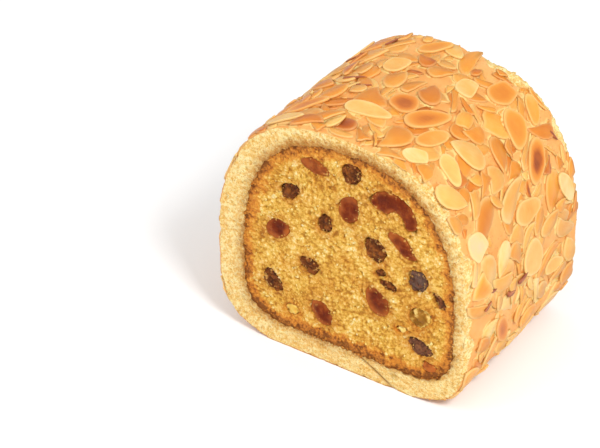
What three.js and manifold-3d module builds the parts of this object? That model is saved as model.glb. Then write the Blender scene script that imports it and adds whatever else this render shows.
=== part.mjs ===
// A tea cake: the end of a long loaf, cut square at both ends. A fruit cake, baked on its own so that it
// has a brown crust all round, is wrapped in one sheet of sponge whose two ends lap under the base, and
// flaked almonds are baked on to the outside of the sheet. The fruit that both cuts pass through shows in
// the faces, each piece in its own hollow in the cake.
//
// The loaf runs along Y, its front cut face at -Y. X is across it and +Z is up. The origin is under the
// middle of the loaf, on the surface that it stands on. Millimetres.

import * as THREE from "three";
import { mergeVertices } from "three/addons/utils/BufferGeometryUtils.js";
import Module from "manifold-3d";

const wasm = await Module();
wasm.setup();

// Driving dimensions of the loaf
const WIDTH = 100;
const HEIGHT = 93;
const LENGTH = 72;
const FACE = LENGTH / 2; // distance from the middle to either cut
const WIDEST = 34.5; // height of the widest level
const GAP = 0.3; // air between neighbouring pieces

// A section is a round-shouldered hump on a squarer base: two halves of superellipses that meet at its
// widest level, with the lower one cut off flat at the floor level so that the loaf stands.
const WRAP_OUTSIDE = {
  x: 0,
  widest: WIDEST,
  halfWidth: WIDTH / 2,
  rise: HEIGHT - WIDEST,
  drop: 35.7,
  floor: 0,
  topPower: 2.48,
  basePower: 3.9,
};
const CAKE_OUTSIDE = {
  x: 2,
  widest: 34,
  halfWidth: 42,
  rise: 52.5,
  drop: 26.6,
  floor: 8,
  topPower: 2.45,
  basePower: 4.6,
};
const OUTLINE_STEPS = 96;

// The seam under the base, where the two ends of the sponge sheet lap in a slant
const SEAM_INSIDE_X = 7;
const SEAM_OUTSIDE_X = 21;
const SEAM_GAP = 0.7; // measured level, so the slanted slit itself is about GAP wide

// Fruit set in a cut face. x and z place its middle in the face, long and wide are its cut section,
// deep is how far it reaches into the cake, and turn tilts its long side up from level, in degrees.
const FRONT_CHERRIES = [
  { x: -11, z: 77, long: 12, wide: 5.6, deep: 5, turn: -8 },
  { x: 2.3, z: 65, long: 11.5, wide: 8.2, deep: 6, turn: 78 },
  { x: 23, z: 58.5, long: 13.5, wide: 6, deep: 5, turn: -36 },
  { x: 13.8, z: 32.7, long: 11.5, wide: 9, deep: 6, turn: -62 },
  { x: 34.6, z: 14.6, long: 5.8, wide: 4.2, deep: 4, turn: 0 },
  { x: -26, z: 47, long: 11, wide: 7.5, deep: 6, turn: 35 },
  { x: -8, z: 19.5, long: 11, wide: 8, deep: 6, turn: -50 },
];
const FRONT_RAISINS = [
  { x: 3, z: 79, long: 8.6, wide: 7.6, deep: 4, turn: 60 },
  { x: 12.6, z: 53.2, long: 10.2, wide: 8.4, deep: 5, turn: -65 },
  { x: -7, z: 56, long: 8.2, wide: 5.8, deep: 4, turn: 75 },
  { x: 15, z: 44.8, long: 4.6, wide: 3, deep: 3, turn: 20 },
  { x: 18.2, z: 41, long: 7.2, wide: 3.8, deep: 3.5, turn: -12 },
  { x: 29.2, z: 47.2, long: 9, wide: 7.8, deep: 5, turn: 80 },
  { x: 31, z: 21.2, long: 9.8, wide: 6.2, deep: 4, turn: -22 },
  { x: 37.6, z: 42.4, long: 7.4, wide: 3.6, deep: 4, turn: -50 },
  { x: -21, z: 64, long: 9, wide: 6, deep: 4, turn: 30 },
  { x: -13, z: 37, long: 8.4, wide: 6.4, deep: 4, turn: -25 },
  { x: -28, z: 25, long: 10, wide: 7, deep: 5, turn: -55 },
];
const FRONT_PEEL = [
  { x: 30.6, z: 33.2, long: 8.8, wide: 7, deep: 4, turn: 40 },
  { x: 23.4, z: 25.6, long: 4.2, wide: 2.4, deep: 2.5, turn: 15 },
  { x: -20, z: 16, long: 5.5, wide: 4, deep: 3, turn: 10 },
];
const REAR_CHERRIES = [
  { x: -22, z: 66, long: 12, wide: 8, deep: 6, turn: 40 },
  { x: 16, z: 70, long: 11, wide: 8, deep: 6, turn: -20 },
  { x: 28, z: 38, long: 12, wide: 8.5, deep: 6, turn: 70 },
  { x: -6, z: 24, long: 12, wide: 8.5, deep: 6, turn: -15 },
];
const REAR_RAISINS = [
  { x: 0, z: 79, long: 9, wide: 6.5, deep: 4, turn: 10 },
  { x: -4, z: 55, long: 10, wide: 7, deep: 5, turn: 60 },
  { x: 18, z: 52, long: 8, wide: 6, deep: 4, turn: -40 },
  { x: -27, z: 42, long: 10, wide: 7, deep: 5, turn: 85 },
  { x: 12, z: 36, long: 9, wide: 6, deep: 4, turn: 25 },
  { x: 25, z: 19, long: 9, wide: 7, deep: 4, turn: -30 },
];
const REAR_PEEL = [
  { x: -27, z: 22, long: 8, wide: 5.5, deep: 3.5, turn: 20 },
  { x: 33, z: 57, long: 6, wide: 4.5, deep: 3, turn: -60 },
];
const FRUIT_SIDES = 14;
const FRUIT_RINGS = 4; // rings between the rim of a fruit's dome and its tip

// Half of a glace cherry cut through its stone hole: a thick hook. fat and thin are half its thickness
// at its first and last end, before those are rounded. It turns from one angle to the other, in degrees.
const HOOK = { x: 19, z: 67.2, radius: 6.6, fat: 4.4, thin: 2.6, from: 158, to: -14, deep: 5 };
const HOOK_STEPS = 12;
const HOOK_ROUNDED_OFF = 0.5; // share of the thickness that the rounding takes at the very end
const HOOK_SQUARENESS = 6; // the higher, the closer to the end the rounding starts

// Flaked almonds. across is the distance round the skin from the crown, positive to +X, and along is Y.
// turn swings the long side from the way round the loaf towards +Y. A broken flake keeps a part of one
// half: kept 0.3 is snapped off just past its middle.
const FLAKES = [
  { across: 38, along: 15, long: 15, wide: 10, turn: -33 },
  { across: 51, along: 16, long: 18, wide: 8, turn: -48 },
  { across: 6, along: -8, long: 11, wide: 10, turn: -37 },
  { across: 16, along: -10, long: 18, wide: 8.5, turn: 59 },
  { across: -2, along: -18, long: 18, wide: 8, turn: 0 },
  { across: 22.5, along: -16.5, long: 14, wide: 6.5, turn: 69 },
  { across: 63, along: 4, long: 16, wide: 8.5, turn: 84 },
  { across: 82, along: 5, long: 16, wide: 12.5, turn: 34 },
  { across: -5, along: 29.5, long: 13, wide: 6, turn: 45 },
  { across: 24, along: -27.5, long: 12, wide: 6, turn: 43, kept: 0.5 },
  { across: 34, along: -22, long: 13, wide: 7, turn: -31 },
  { across: 18, along: 14.5, long: 11, wide: 9, turn: 10, kept: 0.3 },
  { across: 26, along: 23.5, long: 15, wide: 9, turn: 84, kept: 0.55 },
  { across: 37, along: 28, long: 12, wide: 6, turn: -29 },
  { across: -10, along: 14, long: 13, wide: 9, turn: 83, kept: 0.4 },
  { across: -24, along: -21, long: 16, wide: 5.5, turn: 30 },
  { across: -27, along: -30.5, long: 17, wide: 5.5, turn: 0 },
  { across: 61, along: -27, long: 13, wide: 9, turn: 25, kept: 0.4 },
  { across: 67, along: 29, long: 14, wide: 6.5, turn: 27 },
  { across: 100, along: -14, long: 13, wide: 7, turn: 25 },
  { across: 93, along: 20, long: 12, wide: 6, turn: 80 },
  { across: -48, along: 8, long: 15, wide: 9, turn: 20 },
  { across: -66, along: -16, long: 17, wide: 8, turn: 70 },
  { across: -93, along: -6, long: 14, wide: 8, turn: 10 },
];
const FLAKE_THICKNESS = 0.9;
const FLAKE_SIDES = 16;
const FLAKE_INNER_RING = 0.55; // share of the way out, where a flake bends with the skin
const FLAKE_TAPER = 0.22; // how much narrower an almond is towards its tip

const MATERIALS = {
  sponge: new THREE.MeshStandardMaterial({ color: 0xedb878, roughness: 0.75, metalness: 0 }),
  cake: new THREE.MeshStandardMaterial({ color: 0xd9a653, roughness: 0.9, metalness: 0 }),
  cherry: new THREE.MeshStandardMaterial({ color: 0x6f2a1d, roughness: 0.35, metalness: 0 }),
  raisin: new THREE.MeshStandardMaterial({ color: 0x43261d, roughness: 0.6, metalness: 0 }),
  peel: new THREE.MeshStandardMaterial({ color: 0xb98a22, roughness: 0.4, metalness: 0 }),
  almond: new THREE.MeshStandardMaterial({ color: 0xeeb468, roughness: 0.5, metalness: 0 }),
};

const { degToRad, lerp } = THREE.MathUtils;

// The point of a section's outline in the direction angle from the middle of its widest level
function outlinePoint(section, angle, grow = 0) {
  const across = Math.cos(angle);
  const up = Math.sin(angle);
  const height = up >= 0 ? section.rise : section.drop;
  const power = up >= 0 ? section.topPower : section.basePower;
  const sum =
    Math.abs(across / (section.halfWidth + grow)) ** power + Math.abs(up / (height + grow)) ** power;
  const reach = sum ** (-1 / power);
  return new THREE.Vector2(
    section.x + reach * across,
    Math.max(section.widest + reach * up, section.floor - grow),
  );
}

// A shape drawn across the loaf, as x and z, pushed along Y from one cut to the other
function alongLoaf(shape) {
  return new THREE.ExtrudeGeometry(shape, { depth: LENGTH, bevelEnabled: false })
    .rotateX(Math.PI / 2)
    .translate(0, FACE, 0);
}

const SAME_POINT = 1e-3; // corners closer together than this are one

function solidOf(geometry) {
  const bare = geometry.clone().deleteAttribute("normal").deleteAttribute("uv");
  const merged = mergeVertices(bare, SAME_POINT);
  const triVerts = new Uint32Array(merged.index.array);
  const vertProperties = merged.attributes.position.array;
  return new wasm.Manifold(new wasm.Mesh({ numProp: 3, vertProperties, triVerts }));
}

function geometryOf(solid) {
  const { vertProperties, triVerts } = solid.getMesh();
  return new THREE.BufferGeometry()
    .setAttribute("position", new THREE.BufferAttribute(vertProperties, 3))
    .setIndex(new THREE.BufferAttribute(triVerts, 1));
}

// --- The sponge sheet, wound once round the cake, from one side of the seam to the other

function spongeWrap() {
  const grownFloor = CAKE_OUTSIDE.floor - GAP;
  const outerSeam = Math.atan2(-WRAP_OUTSIDE.widest, SEAM_OUTSIDE_X);
  const innerSeam = Math.atan2(grownFloor - CAKE_OUTSIDE.widest, SEAM_INSIDE_X - CAKE_OUTSIDE.x);
  const step = (2 * Math.PI) / OUTLINE_STEPS;
  const points = [new THREE.Vector2(SEAM_OUTSIDE_X + SEAM_GAP / 2, WRAP_OUTSIDE.floor)];
  for (let i = 1; i < OUTLINE_STEPS; i++) {
    points.push(outlinePoint(WRAP_OUTSIDE, outerSeam + i * step));
  }
  points.push(new THREE.Vector2(SEAM_OUTSIDE_X - SEAM_GAP / 2, WRAP_OUTSIDE.floor));
  points.push(new THREE.Vector2(SEAM_INSIDE_X - SEAM_GAP / 2, grownFloor));
  for (let i = OUTLINE_STEPS - 1; i > 0; i--) {
    points.push(outlinePoint(CAKE_OUTSIDE, innerSeam + i * step, GAP));
  }
  points.push(new THREE.Vector2(SEAM_INSIDE_X + SEAM_GAP / 2, grownFloor));
  return alongLoaf(new THREE.Shape(points));
}

// --- Fruit: a dome with its flat side in the cut face, or a hook of cherry flesh

// side is -1 at the front cut and +1 at the rear one. A grown dome also stands out past the cut.
function domeGeometry(fruit, side, grow = 0) {
  const profile = [new THREE.Vector2(0, -grow)];
  if (grow > 0) {
    profile.push(new THREE.Vector2(1, -grow));
  }
  for (let i = 0; i < FRUIT_RINGS; i++) {
    const lift = ((i / FRUIT_RINGS) * Math.PI) / 2;
    profile.push(new THREE.Vector2(Math.cos(lift), (fruit.deep + grow) * Math.sin(lift)));
  }
  profile.push(new THREE.Vector2(0, fruit.deep + grow));
  return new THREE.LatheGeometry(profile, FRUIT_SIDES)
    .scale(fruit.long / 2 + grow, 1, fruit.wide / 2 + grow)
    .rotateZ(side > 0 ? Math.PI : 0)
    .rotateY(degToRad(-fruit.turn))
    .translate(fruit.x, side * FACE, fruit.z);
}

// A grown hook also runs on past both its ends
function hookGeometry(grow = 0) {
  const overrun = grow / (HOOK.radius - HOOK.fat / 2);
  const first = degToRad(HOOK.from) + overrun;
  const last = degToRad(HOOK.to) - overrun;
  const outer = [];
  const inner = [];
  for (let i = 0; i <= HOOK_STEPS; i++) {
    const share = i / HOOK_STEPS;
    const rounding = 1 - HOOK_ROUNDED_OFF * (2 * share - 1) ** HOOK_SQUARENESS;
    const half = lerp(HOOK.fat, HOOK.thin, share) * rounding + grow;
    const angle = lerp(first, last, share);
    const ray = new THREE.Vector2(Math.cos(angle), Math.sin(angle));
    outer.push(ray.clone().multiplyScalar(HOOK.radius + half));
    inner.unshift(ray.clone().multiplyScalar(HOOK.radius - half));
  }
  const shape = new THREE.Shape([...outer, ...inner]);
  return new THREE.ExtrudeGeometry(shape, { depth: HOOK.deep + 2 * grow, bevelEnabled: false })
    .rotateX(Math.PI / 2)
    .translate(HOOK.x, -FACE + HOOK.deep + grow, HOOK.z);
}

const fruits = [];
function addFruits(list, name, material, side) {
  list.forEach((fruit, i) =>
    fruits.push({
      name: `${name}_${i + 1}`,
      material,
      geometry: domeGeometry(fruit, side),
      hollow: domeGeometry(fruit, side, GAP),
    }),
  );
}
addFruits(FRONT_CHERRIES, "front_cherry", MATERIALS.cherry, -1);
addFruits(FRONT_RAISINS, "front_raisin", MATERIALS.raisin, -1);
addFruits(FRONT_PEEL, "front_peel", MATERIALS.peel, -1);
addFruits(REAR_CHERRIES, "rear_cherry", MATERIALS.cherry, 1);
addFruits(REAR_RAISINS, "rear_raisin", MATERIALS.raisin, 1);
addFruits(REAR_PEEL, "rear_peel", MATERIALS.peel, 1);
fruits.push({
  name: "front_cherry_hook",
  material: MATERIALS.cherry,
  geometry: hookGeometry(),
  hollow: hookGeometry(GAP),
});

// --- The fruit cake, with a hollow for each fruit

function fruitCake() {
  const points = [];
  for (let i = 0; i < OUTLINE_STEPS; i++) {
    points.push(outlinePoint(CAKE_OUTSIDE, (2 * Math.PI * i) / OUTLINE_STEPS));
  }
  const whole = solidOf(alongLoaf(new THREE.Shape(points)));
  return geometryOf(fruits.reduce((cake, fruit) => cake.subtract(solidOf(fruit.hollow)), whole));
}

// --- Flaked almonds, each a thin slice bent to the round of the skin

const SKIN_STEPS = 2000;
const skin = [];
for (let i = 0; i <= SKIN_STEPS; i++) {
  const angle = 1.5 * Math.PI - (2 * Math.PI * i) / SKIN_STEPS;
  const point = outlinePoint(WRAP_OUTSIDE, angle);
  const before = skin[i - 1];
  skin.push({ point, run: before ? before.run + point.distanceTo(before.point) : 0 });
}
const CROWN_RUN = skin[SKIN_STEPS / 2].run;

// The place at a distance round the skin from the crown, lifted off it
function skinPoint(across, lift) {
  const run = CROWN_RUN + across;
  const after = skin.findIndex((s) => s.run >= run);
  const [a, b] = [skin[after - 1], skin[after]];
  const place = a.point.clone().lerp(b.point, (run - a.run) / (b.run - a.run));
  const way = b.point.clone().sub(a.point).normalize();
  return place.add(new THREE.Vector2(-way.y, way.x).multiplyScalar(lift));
}

function flakeGeometry(flake) {
  const top = FLAKE_THICKNESS;
  const profile = [
    [0, 0],
    [FLAKE_INNER_RING, 0],
    [1, 0],
    [1, top],
    [FLAKE_INNER_RING, top],
    [0, top],
  ].map(([r, y]) => new THREE.Vector2(r, y));
  const geometry = new THREE.LatheGeometry(profile, FLAKE_SIDES);
  const position = geometry.attributes.position;
  const turn = degToRad(flake.turn);
  for (let i = 0; i < position.count; i++) {
    const lengthwise = Math.min(position.getX(i), flake.kept ?? 1);
    const u = (lengthwise * flake.long) / 2;
    const v = ((position.getZ(i) * flake.wide) / 2) * (1 - FLAKE_TAPER * lengthwise);
    const across = flake.across + u * Math.cos(turn) + v * Math.sin(turn);
    const along = flake.along + u * Math.sin(turn) - v * Math.cos(turn);
    const place = skinPoint(across, GAP + position.getY(i));
    position.setXYZ(i, place.x, along, place.y);
  }
  return geometry;
}

// --- The whole tea cake

const teaCake = new THREE.Group();
function add(name, geometry, material) {
  const mesh = new THREE.Mesh(geometry, material);
  mesh.name = name;
  teaCake.add(mesh);
}

add("sponge_wrap", spongeWrap(), MATERIALS.sponge);
add("fruit_cake", fruitCake(), MATERIALS.cake);
fruits.forEach((fruit) => add(fruit.name, fruit.geometry, fruit.material));
FLAKES.forEach((flake, i) => add(`almond_flake_${i + 1}`, flakeGeometry(flake), MATERIALS.almond));

export default teaCake;
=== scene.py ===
"""The looks of a tea cake: the end of a long loaf, cut square at both ends. A fruit cake with a brown crust
is wrapped in a sheet of sponge, and flaked almonds are baked on to the outside of the sheet. The loaf runs
along Y, its front cut at -Y, X is across it and Z is up. Everything is in metres."""

import math

import bmesh
import bpy
import numpy as np
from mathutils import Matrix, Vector


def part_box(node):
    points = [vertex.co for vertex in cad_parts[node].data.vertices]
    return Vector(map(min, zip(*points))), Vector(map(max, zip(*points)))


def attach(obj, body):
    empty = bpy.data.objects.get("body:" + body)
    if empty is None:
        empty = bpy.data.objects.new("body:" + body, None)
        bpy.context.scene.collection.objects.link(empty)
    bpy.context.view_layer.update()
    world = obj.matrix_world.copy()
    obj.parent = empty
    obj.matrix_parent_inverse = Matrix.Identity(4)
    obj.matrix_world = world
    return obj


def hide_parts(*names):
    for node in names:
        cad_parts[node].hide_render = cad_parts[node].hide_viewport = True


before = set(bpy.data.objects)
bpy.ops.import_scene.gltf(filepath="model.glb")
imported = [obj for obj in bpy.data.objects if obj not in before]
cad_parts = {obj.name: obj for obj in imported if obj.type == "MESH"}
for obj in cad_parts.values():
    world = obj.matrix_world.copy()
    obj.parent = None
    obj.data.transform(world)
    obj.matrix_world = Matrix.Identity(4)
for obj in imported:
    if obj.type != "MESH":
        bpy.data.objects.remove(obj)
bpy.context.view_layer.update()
MM = 0.001

# ---- The fruit cake ------------------------------------------------------------------------------------
# A close golden crumb, baked on its own so that it has a brown crust all round, and cut with a knife at
# both ends. Each cut face is a fine grid torn into grains and small holes, with a hollow wherever a piece
# of fruit lies. It sits inside the sponge sheet.

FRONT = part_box("fruit_cake")[0].y
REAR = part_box("fruit_cake")[1].y
FRUIT_NODES = [n for n in sorted(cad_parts) if n.startswith(("front_", "rear_"))]


def section_of(node, widest, drop, top_power, base_power):
    """The rule of a node's outline: two half superellipses that meet at its widest level."""
    low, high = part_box(node)
    return {
        "x": (low.x + high.x) / 2,
        "half": (high.x - low.x) / 2,
        "widest": widest,
        "rise": high.z - widest,
        "drop": drop,
        "floor": low.z,
        "top": high.z,
        "powers": (top_power, base_power),
    }


def outline(section, angles, grow=0.0):
    """x and z of the outline in the directions of the angles, seen from the middle of its widest level."""
    across, up = np.cos(angles), np.sin(angles)
    height = np.where(up >= 0, section["rise"], section["drop"]) + grow
    power = np.where(up >= 0, *section["powers"])
    share = np.abs(across / (section["half"] + grow)) ** power + np.abs(up / height) ** power
    reach = share ** (-1 / power)
    z = np.maximum(section["widest"] + reach * up, section["floor"] - grow)
    return np.stack([section["x"] + reach * across, z], axis=-1)


CAKE = section_of("fruit_cake", 34 * MM, 26.6 * MM, 2.45, 4.6)
FACE_CELLS = 206  # cells along each side of the grid of a cut face
RIM_POINTS = 2000  # of the outline that the grid is drawn out to
PRESSED = 0.7 * MM  # how far the crust presses into the sponge round it


def face_grid(section, cells):
    """A square grid of points drawn out to a section's outline: x, z and the distance in from the outline."""
    line = np.linspace(-1, 1, cells + 1)
    a, b = np.meshgrid(line, line)
    wider = np.abs(a) >= np.abs(b)
    reach = np.where(wider, a, b)
    other = np.where(wider, b, a)
    turn = np.pi / 4 * np.divide(other, reach, out=np.zeros_like(a), where=reach != 0)
    turn = np.where(wider, turn, np.pi / 2 - turn)
    turn = np.where(reach < 0, turn + np.pi, turn)
    reach = np.abs(reach)
    middle = np.array([section["x"], (section["floor"] + section["top"]) / 2])
    rim = outline(section, np.linspace(0, 2 * np.pi, RIM_POINTS, endpoint=False), PRESSED) - middle
    rim_turn = np.arctan2(rim[:, 1], rim[:, 0])
    order = np.argsort(rim_turn)
    rim_reach = np.hypot(rim[:, 0], rim[:, 1])
    edge = np.interp(turn, rim_turn[order], rim_reach[order], period=2 * np.pi)
    x = middle[0] + reach * edge * np.cos(turn)
    z = middle[1] + reach * edge * np.sin(turn)
    return x.ravel(), z.ravel(), ((1 - reach) * edge).ravel()


def grid_quads(rows, columns, start=0):
    """Corner numbers of the quads of a grid that has so many rows and columns of points."""
    number = start + np.arange(rows * columns).reshape(rows, columns)
    corners = [number[:-1, :-1], number[:-1, 1:], number[1:, 1:], number[1:, :-1]]
    return np.stack([c.ravel() for c in corners], axis=-1)


def rim_loop(count):
    """Corner numbers round the outside of a square grid of points."""
    number = np.arange(count * count).reshape(count, count)
    sides = [number[0, :-1], number[:-1, -1], number[-1, :0:-1], number[:0:-1, 0]]
    return np.concatenate(sides)


def in_scene(name, data):
    """A new object that holds the data, linked to the scene."""
    made = bpy.data.objects.new(name, data)
    bpy.context.scene.collection.objects.link(made)
    return made


def new_object(name, points, faces, values):
    """A mesh object with one value for each point under each name in values, and its faces turned out."""
    mesh = bpy.data.meshes.new(name)
    mesh.from_pydata(np.asarray(points).tolist(), [], [list(map(int, f)) for f in faces])
    for key, value in values.items():
        layer = mesh.attributes.new(key, "FLOAT", "POINT")
        layer.data.foreach_set("value", np.broadcast_to(value, len(points)).astype(np.float32))
    shell = bmesh.new()
    shell.from_mesh(mesh)
    bmesh.ops.recalc_face_normals(shell, faces=shell.faces)
    shell.to_mesh(mesh)
    shell.free()
    mesh.shade_smooth()
    return in_scene(name, mesh)


def lie_of(node):
    """How a fruit lies in its cut face: its middle, long and short directions, half sizes, depth and side."""
    corners = np.array([v.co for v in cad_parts[node].data.vertices])
    flat = np.unique(np.round(corners[:, [0, 2]], 6), axis=0)
    middle = (flat.min(axis=0) + flat.max(axis=0)) / 2
    spread, directions = np.linalg.eigh(np.cov((flat - middle).T))
    short, long = directions.T
    return {
        "middle": middle,
        "long": long,
        "short": short,
        "half_long": np.abs((flat - middle) @ long).max(),
        "half_short": np.abs((flat - middle) @ short).max(),
        "deep": np.ptp(corners[:, 1]),
        "side": -1 if node.startswith("front_") else 1,
    }


FRUIT_LIES = {node: lie_of(node) for node in FRUIT_NODES}
# The hook of cherry is an arc: the radius of its middle line, half its width at its two ends, where it
# starts and stops in degrees, and its centre
HOOK = {"radius": 6.6 * MM, "fat": 4.4 * MM, "thin": 2.6 * MM, "from": 158, "to": -14}
HOOK["x"], HOOK["z"] = 19 * MM, 67.2 * MM


def smooth(value, start, end):
    """0 before start and 1 after end, with a smooth way between them."""
    share = np.clip((value - start) / (end - start), 0, 1)
    return share * share * (3 - 2 * share)


def hook_reach(x, z):
    """How far out in the hook of cherry a point of the front face is: 0 on its middle line, 1 at its edge."""
    away = np.hypot(x - HOOK["x"], z - HOOK["z"])
    turn = np.degrees(np.arctan2(z - HOOK["z"], x - HOOK["x"]))
    share = np.clip((HOOK["from"] - turn) / (HOOK["from"] - HOOK["to"]), 0, 1)
    half = HOOK["fat"] + (HOOK["thin"] - HOOK["fat"]) * share
    past = np.maximum(turn - HOOK["from"], HOOK["to"] - turn) / 18  # 1 for each 18 degrees past its ends
    return np.maximum(np.abs(away - HOOK["radius"]) / half, 0.9 + past)


def fruit_reach(x, z, side, kind=""):
    """How far out of the nearest fruit of a kind each point of a cut face is: 1 at the fruit's edge."""
    nowhere = np.full_like(x, 9)  # far from every fruit
    least = hook_reach(x, z) if side < 0 and kind in "cherry" else nowhere
    for node, lie in FRUIT_LIES.items():
        if lie["side"] != side or kind not in node or node == "front_cherry_hook":
            continue
        away = np.stack([x, z], axis=-1) - lie["middle"]
        u, v = away @ lie["long"] / lie["half_long"], away @ lie["short"] / lie["half_short"]
        wander = 1 + 0.07 * np.sin(3 * np.arctan2(v, u) + 90 * lie["middle"][0] / MM)
        least = np.minimum(least, np.hypot(u, v) * wander)
    return least


LIGHT_LEVEL = 1.25  # how bright the studio light makes an even white


def colour(red, green, blue):
    """A colour given in 0 to 255 as it looks in the studio light, as the linear one that a shader takes."""
    parts = [c / 255 for c in (red, green, blue)]
    linear = [c / 12.92 if c <= 0.04045 else ((c + 0.055) / 1.055) ** 2.4 for c in parts]
    return tuple(c / LIGHT_LEVEL for c in linear) + (1.0,)


def put(tree, kind, inputs=(), **settings):
    """Adds a node. inputs gives its sockets, by name or number, values or other nodes' outputs."""
    node = tree.nodes.new(kind)
    for key, value in settings.items():
        setattr(node, key, value)
    for key, value in dict(inputs).items():
        if isinstance(value, bpy.types.NodeSocket):
            tree.links.new(value, node.inputs[key])
        else:
            node.inputs[key].default_value = value
    return node


def calc(tree, operation, *values):
    return put(tree, "ShaderNodeMath", enumerate(values), operation=operation).outputs[0]


def plus(tree, first, second):
    return calc(tree, "ADD", first, second)


def less(tree, first, second):
    return calc(tree, "SUBTRACT", first, second)


def times(tree, first, second):
    return calc(tree, "MULTIPLY", first, second)


def times_plus(tree, first, second, more):
    return calc(tree, "MULTIPLY_ADD", first, second, more)


def per(tree, size):
    """The scale of a pattern whose features have that size."""
    return calc(tree, "DIVIDE", 1.0, size)


def vector_calc(tree, operation, *values):
    node = put(tree, "ShaderNodeVectorMath", enumerate(values), operation=operation)
    return node.outputs["Value" if operation in ("DOT_PRODUCT", "LENGTH") else "Vector"]


def scaled(tree, vector, length):
    return put(tree, "ShaderNodeVectorMath", {0: vector, 3: length}, operation="SCALE").outputs[0]


def part_of(tree, vector, axis):
    """The X, Y or Z of a vector."""
    return put(tree, "ShaderNodeSeparateXYZ", {0: vector}).outputs[axis]


def surface_place(tree):
    """Where a point of the surface is, read in a material."""
    return put(tree, "ShaderNodeTexCoord").outputs["Object"]


def mesh_place(tree):
    """Where a point of the mesh is, read in a geometry tree."""
    return put(tree, "GeometryNodeInputPosition").outputs[0]


def fade(tree, value, start, end, low=0.0, high=1.0):
    """low where value is at start, high where it is at end, and a smooth way between them."""
    inputs = {"Value": value, "From Min": start, "From Max": end, "To Min": low, "To Max": high}
    return put(tree, "ShaderNodeMapRange", inputs, interpolation_type="SMOOTHSTEP").outputs["Result"]


def noise(tree, place, scale, detail=2.0, rough=0.5):
    inputs = {"Vector": place, "Scale": scale, "Detail": detail, "Roughness": rough}
    return put(tree, "ShaderNodeTexNoise", inputs).outputs[0]


def wandering(tree, place, scale, detail):
    """A vector that wanders from place to place, as far to one side as to the other."""
    inputs = {"Vector": place, "Scale": scale, "Detail": detail}
    drawn = put(tree, "ShaderNodeTexNoise", inputs).outputs["Color"]
    return vector_calc(tree, "SUBTRACT", drawn, (0.5, 0.5, 0.5))


def cells(tree, place, scale):
    """The Voronoi node of a pattern of cells, whose outputs are Distance and Color."""
    return put(tree, "ShaderNodeTexVoronoi", {"Vector": place, "Scale": scale})


def mixed(tree, share, first, second, mode="MIX"):
    inputs = {0: share, 6: first, 7: second}
    return put(tree, "ShaderNodeMix", inputs, data_type="RGBA", blend_type=mode).outputs[2]


def ramp(tree, value, *stops):
    """Colours at places from 0 to 1, as (place, colour) pairs."""
    node = put(tree, "ShaderNodeValToRGB", {"Fac": value})
    marks = node.color_ramp.elements
    while len(marks) < len(stops):
        marks.new(0.5)
    for mark, (place, shade) in zip(marks, stops):
        mark.position = place
        mark.color = shade
    return node.outputs["Color"]


def measure(tree, name, output="Fac"):
    """A value that the mesh carries, read in a material."""
    return put(tree, "ShaderNodeAttribute", attribute_name=name).outputs[output]


def new_tree(name, kind, inputs, outputs):
    """A node group with named sockets. inputs gives each its type and value, outputs its type."""
    tree = bpy.data.node_groups.new(name, kind)
    for socket, (form, value) in inputs.items():
        made = tree.interface.new_socket(socket, in_out="INPUT", socket_type=form)
        if value is not None:
            made.default_value = value
    for socket, form in outputs.items():
        tree.interface.new_socket(socket, in_out="OUTPUT", socket_type=form)
    return tree, tree.nodes.new("NodeGroupInput").outputs, tree.nodes.new("NodeGroupOutput").inputs


def shape_tree(name, **sizes):
    """A geometry tree with a named input for each size, and for the finished piece's material."""
    inputs = {"Geometry": ("NodeSocketGeometry", None), "Material": ("NodeSocketMaterial", None)}
    inputs.update({key.replace("_", " "): ("NodeSocketFloat", value) for key, value in sizes.items()})
    return new_tree(name, "GeometryNodeTree", inputs, {"Geometry": "NodeSocketGeometry"})


def shifted(tree, geometry, offset):
    """Moves each point of the mesh by an offset."""
    return put(tree, "GeometryNodeSetPosition", {"Geometry": geometry, "Offset": offset}).outputs[0]


def end_tree(tree, given, ends, geometry):
    real = put(tree, "GeometryNodeRealizeInstances", {"Geometry": geometry}).outputs[0]
    finished = put(tree, "GeometryNodeSetMaterial", {"Geometry": real, "Material": given["Material"]})
    tree.links.new(finished.outputs[0], ends["Geometry"])


def carried(tree, name, form="FLOAT"):
    """A value that the mesh carries, read in a geometry tree."""
    return put(tree, "GeometryNodeInputNamedAttribute", {"Name": name}, data_type=form).outputs[0]


def kept(tree, geometry, name, value, form="FLOAT"):
    """Writes a value on to the points of the mesh, for its material to read."""
    inputs = {"Geometry": geometry, "Name": name, "Value": value}
    return put(tree, "GeometryNodeStoreNamedAttribute", inputs, data_type=form).outputs[0]


def shaped(made, tree, material, **sizes):
    """Runs a geometry tree on an object, which then holds the result as a plain mesh."""
    modifier = made.modifiers.new(tree.name, "NODES")
    modifier.node_group = tree
    values = {key.replace("_", " "): value for key, value in sizes.items()}
    values["Material"] = material
    for socket in tree.interface.items_tree:
        if socket.in_out == "INPUT" and socket.name in values:
            modifier[socket.identifier] = values[socket.name]
    graph = bpy.context.evaluated_depsgraph_get()
    result = bpy.data.meshes.new_from_object(
        made.evaluated_get(graph), preserve_all_data_layers=True, depsgraph=graph
    )
    made.modifiers.remove(modifier)
    made.data = result
    result.name = made.name
    return made


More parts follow.
